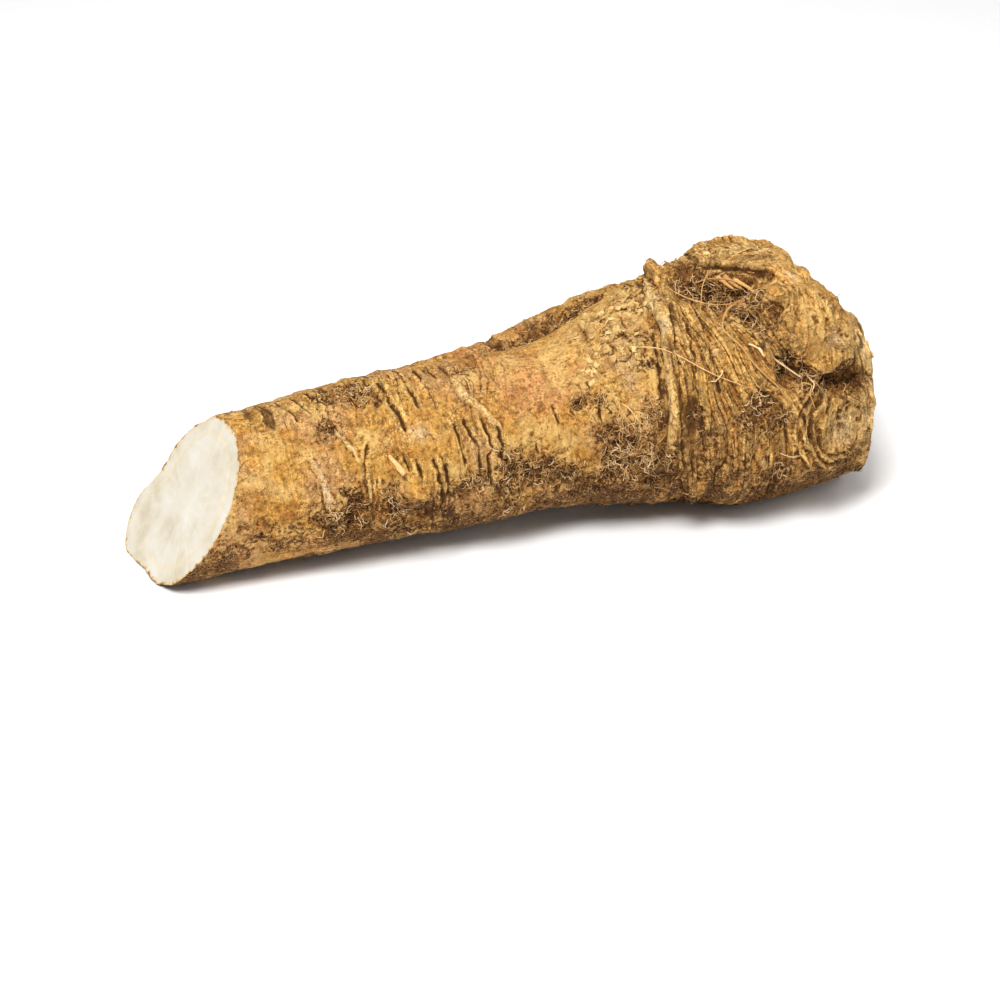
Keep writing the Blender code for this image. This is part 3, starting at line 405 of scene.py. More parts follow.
def to_path(points, path):
    """For each point the distance to a line, how far along it its nearest place is, 0 to 1, and
    that place."""
    found = np.full(len(points), np.inf)
    along = np.zeros(len(points))
    nearest = np.zeros((len(points), 3))
    for i, (start, end) in enumerate(zip(path, path[1:])):
        run = end - start
        t = np.clip((points - start) @ run / (run @ run), 0, 1)
        distance = np.linalg.norm(points - start - t[:, None] * run, axis=1)
        closer = distance < found
        found[closer] = distance[closer]
        along[closer] = (i + t[closer]) / (len(path) - 1)
        nearest[closer] = (start + t[:, None] * run)[closer]
    return found, along, nearest


def near_path(points, way, margin):
    """The smooth line through a way, and the points within a margin of its box."""
    path = smooth_path(way)
    low, high = path.min(axis=0) - margin, path.max(axis=0) + margin
    return path, ((points > low) & (points < high)).all(axis=1)


class Lines:
    """Crisp dark lines: how far each point is from the nearest one, signed by its side, and how
    strongly that line shows."""

    def __init__(self, count):
        self.side = np.full(count, 3.0)
        self.strength = np.zeros(count)

    def mark(self, chosen, side, strength):
        """Lines half a unit wide where side runs from below to above 0."""
        strength = strength * (1 - ramp(np.abs(side), 1.6, 3.0))
        kept = self.strength[chosen] * (3.2 - np.abs(self.side[chosen]))
        better = strength * (3.2 - np.abs(side)) > kept
        index = np.where(chosen)[0][better]
        self.side[index] = np.clip(side[better], -3, 3)
        self.strength[index] = strength[better]


class Skin:
    """The skin's points with the coordinates that its relief is made from, in millimetres."""

    def __init__(self, points):
        self.points = points
        axis = np.array(AXIS)
        x = points[:, 0]
        across = np.interp(x, axis[:, 0], axis[:, 1]) - points[:, 1]
        up = points[:, 2] - np.interp(x, axis[:, 0], axis[:, 2])
        self.x = x
        self.angle = np.degrees(np.arctan2(up, across))
        self.angle[self.angle < -100] += 360
        self.bent = points + 1.1 * np.array([fractal(points, 9, 2, s) for s in (3, 4, 5)]).T
        wobble = [fractal(points, 2.2, 1, seed) for seed in (13, 14, 15)]
        self.wobbly = points + 0.3 * np.array(wobble).T
        self.rough = np.clip(brush(self.bent, ROUGH), 0, 1)
        self.flaky = np.clip(brush(self.bent, FLAKY), 0, 1)
        self.crown = ramp(x, 30, 40)
        beyond = (points - (99.0, -6.7, 30.0)) @ (0.963, -0.271, 0.0)
        self.plate = ramp(beyond, -3.5, -0.5)
        self.lines = Lines(len(x))
        self.run = self.running()

    def running(self):
        """The points again, turned so that fibres lie along lines of equal first coordinate."""
        calmer = 0.5 * (self.points + self.bent)
        x, y, z = calmer.T
        front = ramp(-y, -4, 12)
        lean = 0.12 + 0.62 * ramp(x, 38, 60) * ramp(z, 34, 54) * (1 - ramp(x, 66, 80))
        across = x + lean * (z - 34) * front
        flat = calmer - (100.6, -6.7, 32.0)
        rim = ramp(self.points[:, 0], 86, 92)
        round_plate = 100 + np.linalg.norm(flat[:, 1:], axis=1)
        across = across * (1 - rim) + round_plate * rim
        return np.stack((across, y, z), axis=1)


def wrinkle_strength(skin):
    """How wrinkled the thin half is, from place to place."""
    x, angle = skin.x, skin.angle
    top = window(x, -80, -8, 6) * window(angle, 50, 124, 12)
    front = window(x, -47, 20, 5) * window(angle, -62, 16, 12)
    between = 0.45 * window(x, -47, -14, 6) * window(angle, 10, 60, 14)
    hidden = 0.8 * ramp(angle, 120, 140) * (1 - skin.crown)
    under = 0.7 * (1 - ramp(angle, -60, -45)) * (1 - skin.crown)
    strength = np.maximum.reduce((top, front, between, hidden, under))
    patchy = ramp(fractal(skin.points, 14, 2, 31), -0.5, 0.5)
    return (0.16 + 0.84 * strength) * (0.45 + 0.55 * patchy) * (1 - skin.crown)


def wrinkles(skin):
    """Fine cracks that run round the thin half: height, the two noises that are 0 along the
    cracks, and how strongly each shows."""
    strength = wrinkle_strength(skin)
    wide = fractal(skin.bent, (4.2, 26, 26), 2, 21)
    fine = fractal(skin.bent, (1.9, 13, 13), 2, 24)
    cracks = 0.42 * bell(wide, 0.07) + 0.24 * bell(fine, 0.1)
    swell = 0.22 * fractal(skin.bent, (2.6, 20, 20), 2, 27)
    return strength * (swell - cracks), wide, fine, strength


def fibres(skin):
    """Fibrous ridges that run round the crown, leaning with the way that it swells: the same four
    values."""
    strength = skin.crown * (1 - skin.plate) * (0.4 + 0.6 * window(skin.x, 34, 74, 4))
    wide = fractal(skin.run, (4.2, 46, 46), 2, 41)
    fine = fractal(skin.run, (1.8, 24, 24), 2, 44)
    cracks = 0.6 * bell(wide, 0.08) + 0.32 * bell(fine, 0.12)
    swell = 0.42 * fractal(skin.run, (2.8, 34, 34), 2, 47)
    return strength * (swell - cracks), wide, fine, strength


def which_side(points, path, nearest):
    """1 for points on one side of a line and -1 on the other."""
    middle = path.mean(axis=0)
    away = np.cross(path[-1] - path[0], middle - (middle[0], 0.0, 25.0))
    return np.where((points - nearest) @ away > 0, 1, -1)


def furrows(skin):
    """Dark furrows with raised lips, each with a crisp line along it."""
    height = np.zeros(len(skin.x))
    for width, depth, *way in FURROWS:
        path, near = near_path(skin.wobbly, way, 4)
        points = skin.wobbly[near]
        distance, place, nearest = to_path(points, path)
        taper = np.clip(np.minimum(place, 1 - place) * 6, 0.12, 1)
        groove = bell(distance, 1.1 * width * taper)
        lips = bell(distance - 2.2 * width, 0.9 * width)
        height[near] += depth * (0.35 * lips - groove) * taper
        side = distance * which_side(points, path, nearest) / (0.9 * width * taper)
        skin.lines.mark(near, side, np.ones(len(side)))
    return height


def veins(skin):
    """Veins with flat tops and crisp sides."""
    height, pale, grey, cores = (np.zeros(len(skin.x)) for _ in range(4))
    for widths, rise, paleness, greyness, *way in VEINS:
        path, near = near_path(skin.wobbly, way, 6)
        points = skin.points[near]
        distance, place, _ = to_path(skin.wobbly[near], path)
        width = np.interp(place, (0, 1), np.broadcast_to(widths, 2))
        half = width * np.clip(np.minimum(place, 1 - place) * 5, 0.35, 1)
        top = 1 - ramp(distance, 0.55 * half, 1.25 * half)
        height[near] += rise * (top - 0.45 * bell(distance - 1.6 * half, 0.45 * width))
        core = 1 - ramp(distance, 0.5 * half, 1.1 * half)
        cores[near] = np.maximum(cores[near], 1 - ramp(distance, half, 1.5 * half))
        mottled = ramp(fractal(points, 2.4, 3, 57), -0.9, 0.3)
        pale[near] = np.maximum(pale[near], paleness * core * mottled)
        fading = ramp(fractal(points, 5, 2, 59), -0.7, 0.5)
        grey[near] = np.maximum(grey[near], greyness * core * fading)
        shown = ramp(fractal(points, 4, 2, 58), -0.5, 0.3) * ramp(width, 0.4, 2.0)
        skin.lines.mark(near, (distance - 1.35 * half) / 0.3, shown)
    return height, pale, grey, cores


def pits(skin):
    """Round pits with a low rim."""
    height = np.zeros(len(skin.x))
    for *place, radius, depth in PITS:
        distance = np.linalg.norm(skin.wobbly - place, axis=1)
        rim = 0.15 * bell(distance - 1.6 * radius, 0.6 * radius)
        height += depth * (rim - bell(distance, radius))
    return height


def scars(skin):
    """Old rings round the dried scars, like the edges of layers that overlap, and rough ground
    within them."""
    height = np.zeros(len(skin.x))
    for *place, inner, outer, pitch, rise, facing in SCARS:
        offset = skin.bent - place
        distance = np.linalg.norm(offset, axis=1)
        zone = ramp(distance, inner - 0.8, inner + 0.8) * (1 - ramp(distance, outer - 2, outer + 2))
        if facing is not None:
            turned = offset @ unit(np.array(facing)) / np.maximum(distance, 0.1)
            zone = zone * ramp(turned, -0.3, 0.2)
        near = zone > 0.01
        layer = (distance[near] + 1.3 * fractal(skin.points[near], 9, 2, 61)) / pitch
        part = layer % 1
        lip = part**2.2 * (1 - ramp(part, 0.9, 1.0))
        height[near] += rise * (1.5 * lip - 0.5) * zone[near]
        side = ((layer + 0.5) % 1 - 0.5) * pitch / 0.32
        shown = ramp(fractal(skin.points[near], 5, 2, 64), -0.4, 0.5) * zone[near]
        skin.lines.mark(near, side, shown)
        rough = (1 - ramp(distance, inner - 1.5, inner + 0.5)) * (facing is None or facing[0] < 0)
        height += 0.3 * rough * fractal(skin.points, 2.0, 3, 66)
        height -= 0.5 * rise * bell(distance, 0.8 * inner)
    return height


def crumbling(skin):
    """Flat flakes at two levels with steep edges, and lumps and holes on rough ground."""
    steps = fractal(skin.bent, (4.0, 5.0, 5.0), 3, 71)
    flakes = 0.9 * ramp(steps, 0.0, 0.08) + 0.6 * ramp(steps, 0.42, 0.5) - 0.7
    lumps = fractal(skin.points, 2.2, 3, 75)
    holes = ramp(fractal(skin.points, 2.4, 2, 79), 0.25, 0.65)
    return 1.35 * flakes * skin.flaky + skin.rough * (0.75 * lumps - 0.95 * holes)


def fine_grain(skin):
    """Grain, knots and pocks all over, on a gently rolling ground."""
    grain = 0.075 * fractal(skin.points, 1.1, 2, 81)
    rolling = 0.3 * fractal(skin.points, 12, 2, 84) + 0.12 * fractal(skin.points, 4.5, 2, 86)
    pocks = 0.16 * ramp(fractal(skin.points, 1.5, 1, 87), 0.62, 0.92)
    knots = 0.14 * ramp(fractal(skin.points, 2.6, 2, 89), 0.58, 0.9)
    return grain * (1 + 0.4 * skin.crown) + rolling + knots * (0.4 + 0.3 * skin.crown) - pocks


def spread(values, edges, rounds):
    """Values blurred over the mesh."""
    count = np.bincount(edges.ravel(), minlength=len(values))
    a, b = edges.T
    for _ in range(rounds):
        total = np.bincount(a, weights=values[b], minlength=len(values))
        total += np.bincount(b, weights=values[a], minlength=len(values))
        values = 0.5 * values + 0.5 * total / np.maximum(count, 1)
    return values


def read(items, name, width, kind=np.float32):
    """What a mesh keeps for each of its points or edges."""
    found = np.empty(len(items) * width, kind)
    items.foreach_get(name, found)
    return found.reshape(-1, width)


def read_points(mesh):
    return read(mesh.vertices, "co", 3).astype(float) / MM


def write_points(mesh, points):
    mesh.vertices.foreach_set("co", (points * MM).astype(np.float32).ravel())
    mesh.update()


def write_look(mesh, name, values):
    made = mesh.attributes.new(name, "FLOAT", "POINT")
    made.data.foreach_set("value", np.clip(values, 0, 1).astype(np.float32))


def applied(piece):
    """The piece's mesh with its modifiers worked in."""
    graph = bpy.context.evaluated_depsgraph_get()
    piece.data = bpy.data.meshes.new_from_object(piece.evaluated_get(graph))
    piece.modifiers.clear()
    return piece.data


def new_mesh(name, points, faces):
    mesh = bpy.data.meshes.new(name)
    mesh.from_pydata([tuple(point * MM) for point in points], [], faces)
    mesh.shade_smooth()
    return mesh


def new_piece(name, mesh):
    return link(bpy.data.objects.new(name, mesh))


def dense_copy(node):
    """The CAD skin with much smaller faces, carried on a little way past the cut."""
    mesh = node.data.copy()
    mesh.transform(node.matrix_world)
    mesh.materials.clear()
    points = read_points(mesh)
    on_cut = (points - CUT_POINT) @ CUT_NORMAL > -0.35
    points[on_cut, 0] -= CUT_STRETCH
    write_points(mesh, points)
    piece = new_piece("root_skin", mesh)
    remesh = piece.modifiers.new("fine", "REMESH")
    remesh.mode = "VOXEL"
    remesh.voxel_size = SKIN_VOXEL * MM
    soften = piece.modifiers.new("soften", "SMOOTH")
    soften.factor = 0.5
    soften.iterations = SOFTENED
    applied(piece)
    return piece


def underside(points, normals):
    """How much each point faces down, from place to place."""
    return ramp(-normals[:, 2], -0.25, 0.55) * ramp(fractal(points, 9, 3, 93), -1.1, 0.3)


def hollows(points, normals, edges):
    """How far each point lies below the blurred form."""
    sunk = [spread(points[:, axis], edges, 90) - points[:, axis] for axis in range(3)]
    return (np.array(sunk).T * normals).sum(axis=1)


def add_relief(piece):
    """All the fine relief, and the looks that go with it."""
    mesh = piece.data
    points, edges = read_points(mesh), read(mesh.edges, "vertices", 2, np.int32)
    normals = read(mesh.vertices, "normal", 3).astype(float)
    skin = Skin(points)
    wrinkle, *wrinkled = wrinkles(skin)
    fibre, *fibred = fibres(skin)
    vein, vein_pale, vein_grey, covered = veins(skin)
    ends = np.clip(brush(skin.bent, ENDS), 0, 1)
    calm = (1 - 0.85 * covered) * (1 - 0.8 * ends)
    furrow = furrows(skin)
    ringed = scars(skin)
    smooth_ground = 1 - np.clip(skin.rough + skin.flaky, 0, 1) * 0.6
    height = (wrinkle + fibre) * smooth_ground * calm + furrow + vein + ringed
    height += pits(skin) + crumbling(skin) + fine_grain(skin)
    lumps = 0.6 * fractal(points, 4.0, 4, 68) - 0.6 * ramp(fractal(points, 2.2, 2, 69), 0.3, 0.6)
    height += ends * lumps
    under = underside(points, normals)
    pitted = 0.35 * bell(fractal(points, 4.5, 3, 72), 0.12)
    height += under * (0.3 * fractal(points, 3.0, 3, 70) - pitted)
    moved = points + normals * height[:, None]
    moved[moved[:, 2] < 0.05, 2] = 0.0
    write_points(mesh, moved)

    narrow = height - spread(height, edges, 10)
    wide = height - spread(height, edges, 60)
    hollow = hollows(points, normals, edges)
    # Painted shade mixed with grime: darker colour in dips, hollows, SHADED places and underside.
    dips = np.clip(-1.7 * narrow - 0.12, 0, 1) + np.clip(-0.6 * wide - 0.1, 0, 1)
    patchy = 0.15 + 0.85 * ramp(fractal(points, 2.0, 4, 94), -0.35, 0.35)
    grime_and_shade = 0.95 * dips + 0.75 * patchy * np.clip(hollow * 0.5 - 0.12, 0, 0.8)
    grime_and_shade += 0.95 * brush(skin.bent, SHADED) + 0.42 * under
    # Soil mask: dirt on rough ground, painted shade on the underside and in hollows.
    hollow_dirt_and_shade = 0.75 * np.clip(hollow * 0.6 - 0.25, 0, 1)
    crowned = skin.crown > 0.5
    looks = {
        "grime_and_shade": grime_and_shade,
        "soil": np.maximum.reduce((skin.rough, 0.95 * under, hollow_dirt_and_shade)),
        "crack": 0.5 + np.where(crowned, fibred[0], wrinkled[0]),
        "thread": 0.5 + np.where(crowned, fibred[1], wrinkled[1]),
        "cracked": np.maximum(fibred[2], wrinkled[2]) * calm,
        "fibrous": skin.crown * calm * (1 - 0.5 * skin.flaky),
        "side": 0.5 + skin.lines.side / 6,
        "lined": skin.lines.strength,
        # Painted highlight on the raised crests of the relief.
        "painted_crest_highlight": np.clip(2.4 * narrow, 0, 1) + np.clip(0.8 * wide, 0, 1),
        "pale": np.maximum(vein_pale, brush(skin.bent, PALE)),
        "grey": np.maximum(vein_grey, brush(skin.bent, GREY)),
        "pink": brush(skin.bent, PINK),
        "orange": brush(skin.bent, ORANGE),
        "bark": np.maximum.reduce((skin.flaky, skin.plate, 0.8 * ends)),
    }
    for name, values in looks.items():
        write_look(mesh, name, values)
    made = mesh.attributes.new("run", "FLOAT_VECTOR", "POINT")
    made.data.foreach_set("vector", skin.run.astype(np.float32).ravel())


def thin_out(piece):
    """Brings the skin down to its number of triangles."""
    mesh = piece.data
    triangles = sum(len(face.vertices) - 2 for face in mesh.polygons)
    decimate = piece.modifiers.new("thin_out", "DECIMATE")
    decimate.ratio = min(1.0, SKIN_TRIANGLES / triangles)
    applied(piece)


def slice_off(piece):
    """Cuts the skin along the knife's plane and returns the points round the cut, in order."""
    work = bmesh.new()
    work.from_mesh(piece.data)
    cut = bmesh.ops.bisect_plane(
        work,
        geom=work.verts[:] + work.edges[:] + work.faces[:],
        plane_co=Vector(CUT_POINT * MM),
        plane_no=Vector(CUT_NORMAL),
        clear_outer=True,
    )
    edges = [part for part in cut["geom_cut"] if isinstance(part, bmesh.types.BMEdge)]
    loops, left = [], set(edges)
    while left:
        loop = list(left.pop().verts)
        while following := next((edge for edge in loop[-1].link_edges if edge in left), None):
            left.remove(following)
            loop.append(following.other_vert(loop[-1]))
        loops.append(loop)
    rim = np.array([tuple(vert.co) for vert in max(loops, key=len)[:-1]]) / MM
    work.to_mesh(piece.data)
    work.free()
    piece.data.shade_smooth()
    return rim


def cut_face(rim):
    """The flesh where the knife went through: rings from its skin to its middle."""
    steps = np.linalg.norm(np.roll(rim, -1, axis=0) - rim, axis=1)
    middle = (rim * steps[:, None]).sum(axis=0) / steps.sum()
    rings = [rim + (middle - rim) * (k / CUT_RINGS) for k in range(CUT_RINGS)]
    to_middle = np.linalg.norm(rim - middle, axis=1).mean()
    depth = np.concatenate([np.linalg.norm(rim - ring, axis=1) for ring in rings] + [[to_middle]])
    points = np.vstack(rings + [middle[None]])
    count = len(rim)
    faces = []
    for start in range(0, (CUT_RINGS - 1) * count, count):
        for i in range(count):
            a, b = start + i, start + (i + 1) % count
            faces.append((a, b, b + count, a + count))
    last = (CUT_RINGS - 1) * count
    faces += [(last + i, last + (i + 1) % count, len(points) - 1) for i in range(count)]
    side = unit(np.cross(CUT_NORMAL, (0, 0, 1.0)))
    up = np.cross(side, CUT_NORMAL)
    turn = np.arctan2((points - middle) @ up, (points - middle) @ side)
    inner = ramp(depth, 0.0, 1.0)
    saw = 0.05 * np.sin(points[:, 2] * 2.3 + fractal(points, 7, 2, 96) * 2)
    relief = inner * (0.1 * fractal(points, 5, 3, 95) + saw)
    relief -= 0.18 * bell(depth - 4.6 - 0.6 * fractal(points, 9, 2, 97), 0.45) * inner
    mesh = new_mesh("cut_face", points + CUT_NORMAL * relief[:, None], faces)
    if sum(face.normal @ Vector(CUT_NORMAL) for face in mesh.polygons) < 0:
        mesh.flip_normals()
    write_look(mesh, "depth", depth / 25)
    write_look(mesh, "turn", turn / (2 * math.pi) + 0.5)
    return new_piece("cut_flesh", mesh)


class Shapes:
    """Gathers many small closed shapes into one mesh."""

    def __init__(self):
        self.points, self.faces, self.tones = [], [], []

    def add(self, points, faces, tone):
        start = len(self.points)
        self.points += [tuple(point) for point in points]
        self.faces += [tuple(start + i for i in face) for face in faces]
        self.tones += [tone] * len(points)

    def tube(self, path, radii, sides, tone):
        path = np.array(path, float)
        runs = [unit(run) for run in np.gradient(path, axis=0)]
        side = np.cross(runs[0], (0.31, 0.52, 0.79))
        points, faces = [], []
        for place, run, radius in zip(path, runs, radii):
            side = unit(side - run * (side @ run))
            other = np.cross(run, side)
            for k in range(sides):
                turn = 2 * math.pi * k / sides
                points.append(place + radius * (math.cos(turn) * side + math.sin(turn) * other))
        for i in range(len(path) - 1):
            for k in range(sides):
                a, b = i * sides + k, i * sides + (k + 1) % sides
                faces.append((a, b, b + sides, a + sides))
        faces.append(tuple(reversed(range(sides))))
        faces.append(tuple(len(points) - sides + k for k in range(sides)))
        self.add(points, faces, tone)

    def finish(self, name, material):
        points = np.array(self.points)
        points[:, 2] = np.maximum(points[:, 2], 0.02)
        mesh = new_mesh(name, points, self.faces)
        mesh.materials.append(material)
        write_look(mesh, "tone", np.array(self.tones))
        return new_piece(name, mesh)


class Ground:
    """The finished skin, asked for its nearest point and normal, in millimetres."""

    def __init__(self, piece):
        work = bmesh.new()
        work.from_mesh(piece.data)
        self.tree = BVHTree.FromBMesh(work)
        work.free()

    def nearest(self, place):
        spot, normal, _, _ = self.tree.find_nearest(Vector(place) * MM)
        return np.array(spot) / MM, np.array(normal)


def unit(vector):
    return vector / max(np.linalg.norm(vector), 1e-9)


def scatter(draw, size=1):
    """A random step of about this size."""
    return np.array([draw.gauss(0, size) for _ in range(3)])


def crawl(ground, start, heading, length, steps, curl, lift, draw):
    """A wandering path that starts in the skin and keeps close to it."""
    spot, normal = ground.nearest(start)
    path = [spot - 0.35 * normal, spot + 0.12 * normal]
    place = path[1]
    for i in range(steps):
        heading = unit(heading + curl * scatter(draw))
        place = place + heading * length / steps
        spot, normal = ground.nearest(place)
        gap = (place - spot) @ normal
        allowed = 0.1 + lift * math.sin(math.pi * (i + 1) / (steps + 0.6))
        if gap < 0.1 or gap > allowed:
            place = spot + normal * min(max(gap, 0.1), allowed)
        path.append(place)
    return path


def tufts(ground, shapes, draw):
    """Fine roots in tangled tufts, rooted in the skin."""
    for *centre, wide, count, length, pale in TUFTS:
        for _ in range(count):
            start = centre + scatter(draw, 0.5 * wide)
            _, normal = ground.nearest(start)
            along = unit(scatter(draw))
            along = unit(along - normal * (along @ normal) + (0.0, 0.0, -0.25))
            heading = unit(along + normal * draw.uniform(0.1, 0.9))
            reach = length * draw.uniform(0.45, 1.5)
            path = crawl(ground, start, heading, reach, 7, 0.5, draw.uniform(0.4, 1.7), draw)
            radius = draw.uniform(0.06, 0.16)
            radii = np.linspace(radius * 1.25, radius * 0.4, len(path))
            tone = draw.uniform(0.62, 1.0) if draw.random() < pale else draw.uniform(0.05, 0.55)
            shapes.tube(path, radii, 3, tone)


def stray_hairs(ground, shapes, draw):
    """Single short hairs anywhere on the skin, more of them on the crown."""
    for _ in range(STRAY_HAIRS):
        x = draw.choice((draw.uniform(-88, 98), draw.uniform(10, 96)))
        turn = draw.uniform(0, 2 * math.pi)
        spot, normal = ground.nearest((x, -45 * math.cos(turn), 30 + 45 * math.sin(turn)))
        if spot[2] < 2 or normal @ CUT_NORMAL > 0.97:
            continue
        along = unit(np.cross(normal, unit(scatter(draw))))
        length = draw.uniform(1.2, 4.5)
        path = crawl(ground, spot, unit(along + 0.2 * normal), length, 6, 0.35, 0.5, draw)
        radius = draw.uniform(0.05, 0.11)
        radii = np.linspace(radius * 1.2, radius * 0.4, len(path))
        shapes.tube(path, radii, 3, draw.uniform(0.1, 0.9))


def rootlets(ground, shapes, draw):
    """The long rootlets that cross the crown."""
    for thick, tone, *way in ROOTLETS:
        straight = len(way) == 2
        path = []
        for row in smooth_path(way, 12 if straight else 5):
            spot, normal = ground.nearest(row[:3])
            path.append(spot + normal * (row[3] + 0.5 * thick) + scatter(draw, 0.03))
        path = np.array(path)
        for _ in range(120 if straight else 6):
            path[1:-1] = 0.5 * path[1:-1] + 0.25 * (path[:-2] + path[2:])
        for place in path[1:-1]:
            spot, normal = ground.nearest(place)
            place += normal * max(0.5 * thick - (place - spot) @ normal, 0)
        radii = thick / 2 * np.linspace(1.15, 0.65, len(path))
        shapes.tube(path, radii, 6, tone)


def stumps(ground, shapes, draw):
    """Broken ends of side roots, with blunt torn tips."""
    for foot, way, length, start, end, tone in STUMPS:
        spot, normal = ground.nearest(foot)
        heading = unit(np.array(way))
        path, radii = [spot - 0.8 * normal], [start * 1.3]
        place = spot
        for i in range(1, STUMP_STEPS + 1):
            place = place + unit(heading + scatter(draw, 0.1)) * length / STUMP_STEPS
            near, up = ground.nearest(place)
            gap = (place - near) @ up
            place = place + up * max(0.25 * end - gap, 0)
            path.append(place)
            radii.append((start + (end - start) * i / STUMP_STEPS) * draw.uniform(0.9, 1.1))
        path.append(path[-1] + heading * 0.2)
        radii.append(end * 0.55)
        shapes.tube(path, radii, 9, tone)


def wall(start, count):
    """The faces between a ring of points and the next one."""
    faces = []
    for k in range(count):
        a, b = start + k, start + (k + 1) % count
        faces.append((a, a + count, b + count, b))
    return faces


def crumbs(ground, shapes, draw):
    """Crumbs of soil and dead skin, lodged on rough ground."""
    sides = CRUMB_SIDES
    faces = [tuple(range(sides)), tuple(reversed(range(2 * sides, 3 * sides)))]
    faces += wall(0, sides) + wall(sides, sides)
    for *centre, wide, strength in ROUGH:
        for _ in range(int(2.2 * strength * wide * wide)):
            spot, normal = ground.nearest(centre + scatter(draw, 0.42 * wide))
            size = draw.uniform(0.14, 0.4) * (1.5 if draw.random() < 0.1 else 1.0)
            turned = unit(scatter(draw))
            a = unit(np.cross(turned, (0.2, 0.3, 0.9)))
            b = np.cross(turned, a)
            points = []
            for height, ring in ((-0.75, 0.55), (0.0, 1.0), (0.7, 0.6)):
                for k in range(sides):
                    angle = 2 * math.pi * (k + 0.5 * (height == 0)) / sides
                    reach = size * ring * draw.uniform(0.75, 1.25)
                    flat = math.cos(angle) * a + math.sin(angle) * b
                    points.append(spot - normal * 0.1 * size + flat * reach + turned * height * size)
            shapes.add(points, faces, draw.uniform(0.0, 0.75))


def sheet_faces(columns, rows):
    """The faces of a thin sheet whose top points come first, and then its bottom ones."""
    half = columns * rows
    faces = []
    for i in range(columns - 1):
        for a in range(i * rows, i * rows + rows - 1):
            faces.append((a, a + 1, a + rows + 1, a + rows))
            faces.append((half + a, half + a + rows, half + a + rows + 1, half + a + 1))
    border = [*range(rows), *(i * rows + rows - 1 for i in range(1, columns))]
    border += range(half - 2, half - rows - 1, -1)
    border += [i * rows for i in range(columns - 2, 0, -1)]
    for a, b in zip(border, border[1:] + border[:1]):
        faces.append((b, a, half + a, half + b))
    return faces


def flakes(ground, shapes, draw):
    """Thin curled flakes of bark, one edge sunk in the skin."""
    faces = sheet_faces(4, 3)
    beds = [(*row, 40) for row in FLAKY] + [(*row, 2) for row in ROUGH]
    for *centre, wide, strength, count in beds:
        for _ in range(int(count * strength)):
            spot, normal = ground.nearest(centre + scatter(draw, 0.55 * wide))
            along = unit(np.cross(normal, unit(scatter(draw))))
            across = np.cross(normal, along)
            long, broad = draw.uniform(0.9, 2.6), draw.uniform(0.5, 1.4)
            rise = draw.uniform(0.12, 0.55)
            bottom = []
            for u in (0, 1 / 3, 2 / 3, 1):
                for v in (-1, 0, 1):
                    edge = broad * v * draw.uniform(0.75, 1.1) * (1 - 0.35 * u * u)
                    lift = -0.22 + rise * u**1.5 + 0.1 * v * v
                    place = spot + along * long * (u - 0.4) * draw.uniform(0.9, 1.1)
                    bottom.append(place + across * edge + normal * lift)
            top = [place + normal * FLAKE_THICKNESS for place in bottom]
            shapes.add(top + bottom, faces, draw.uniform(0.2, 1.0) if count > 2 else 0.25)


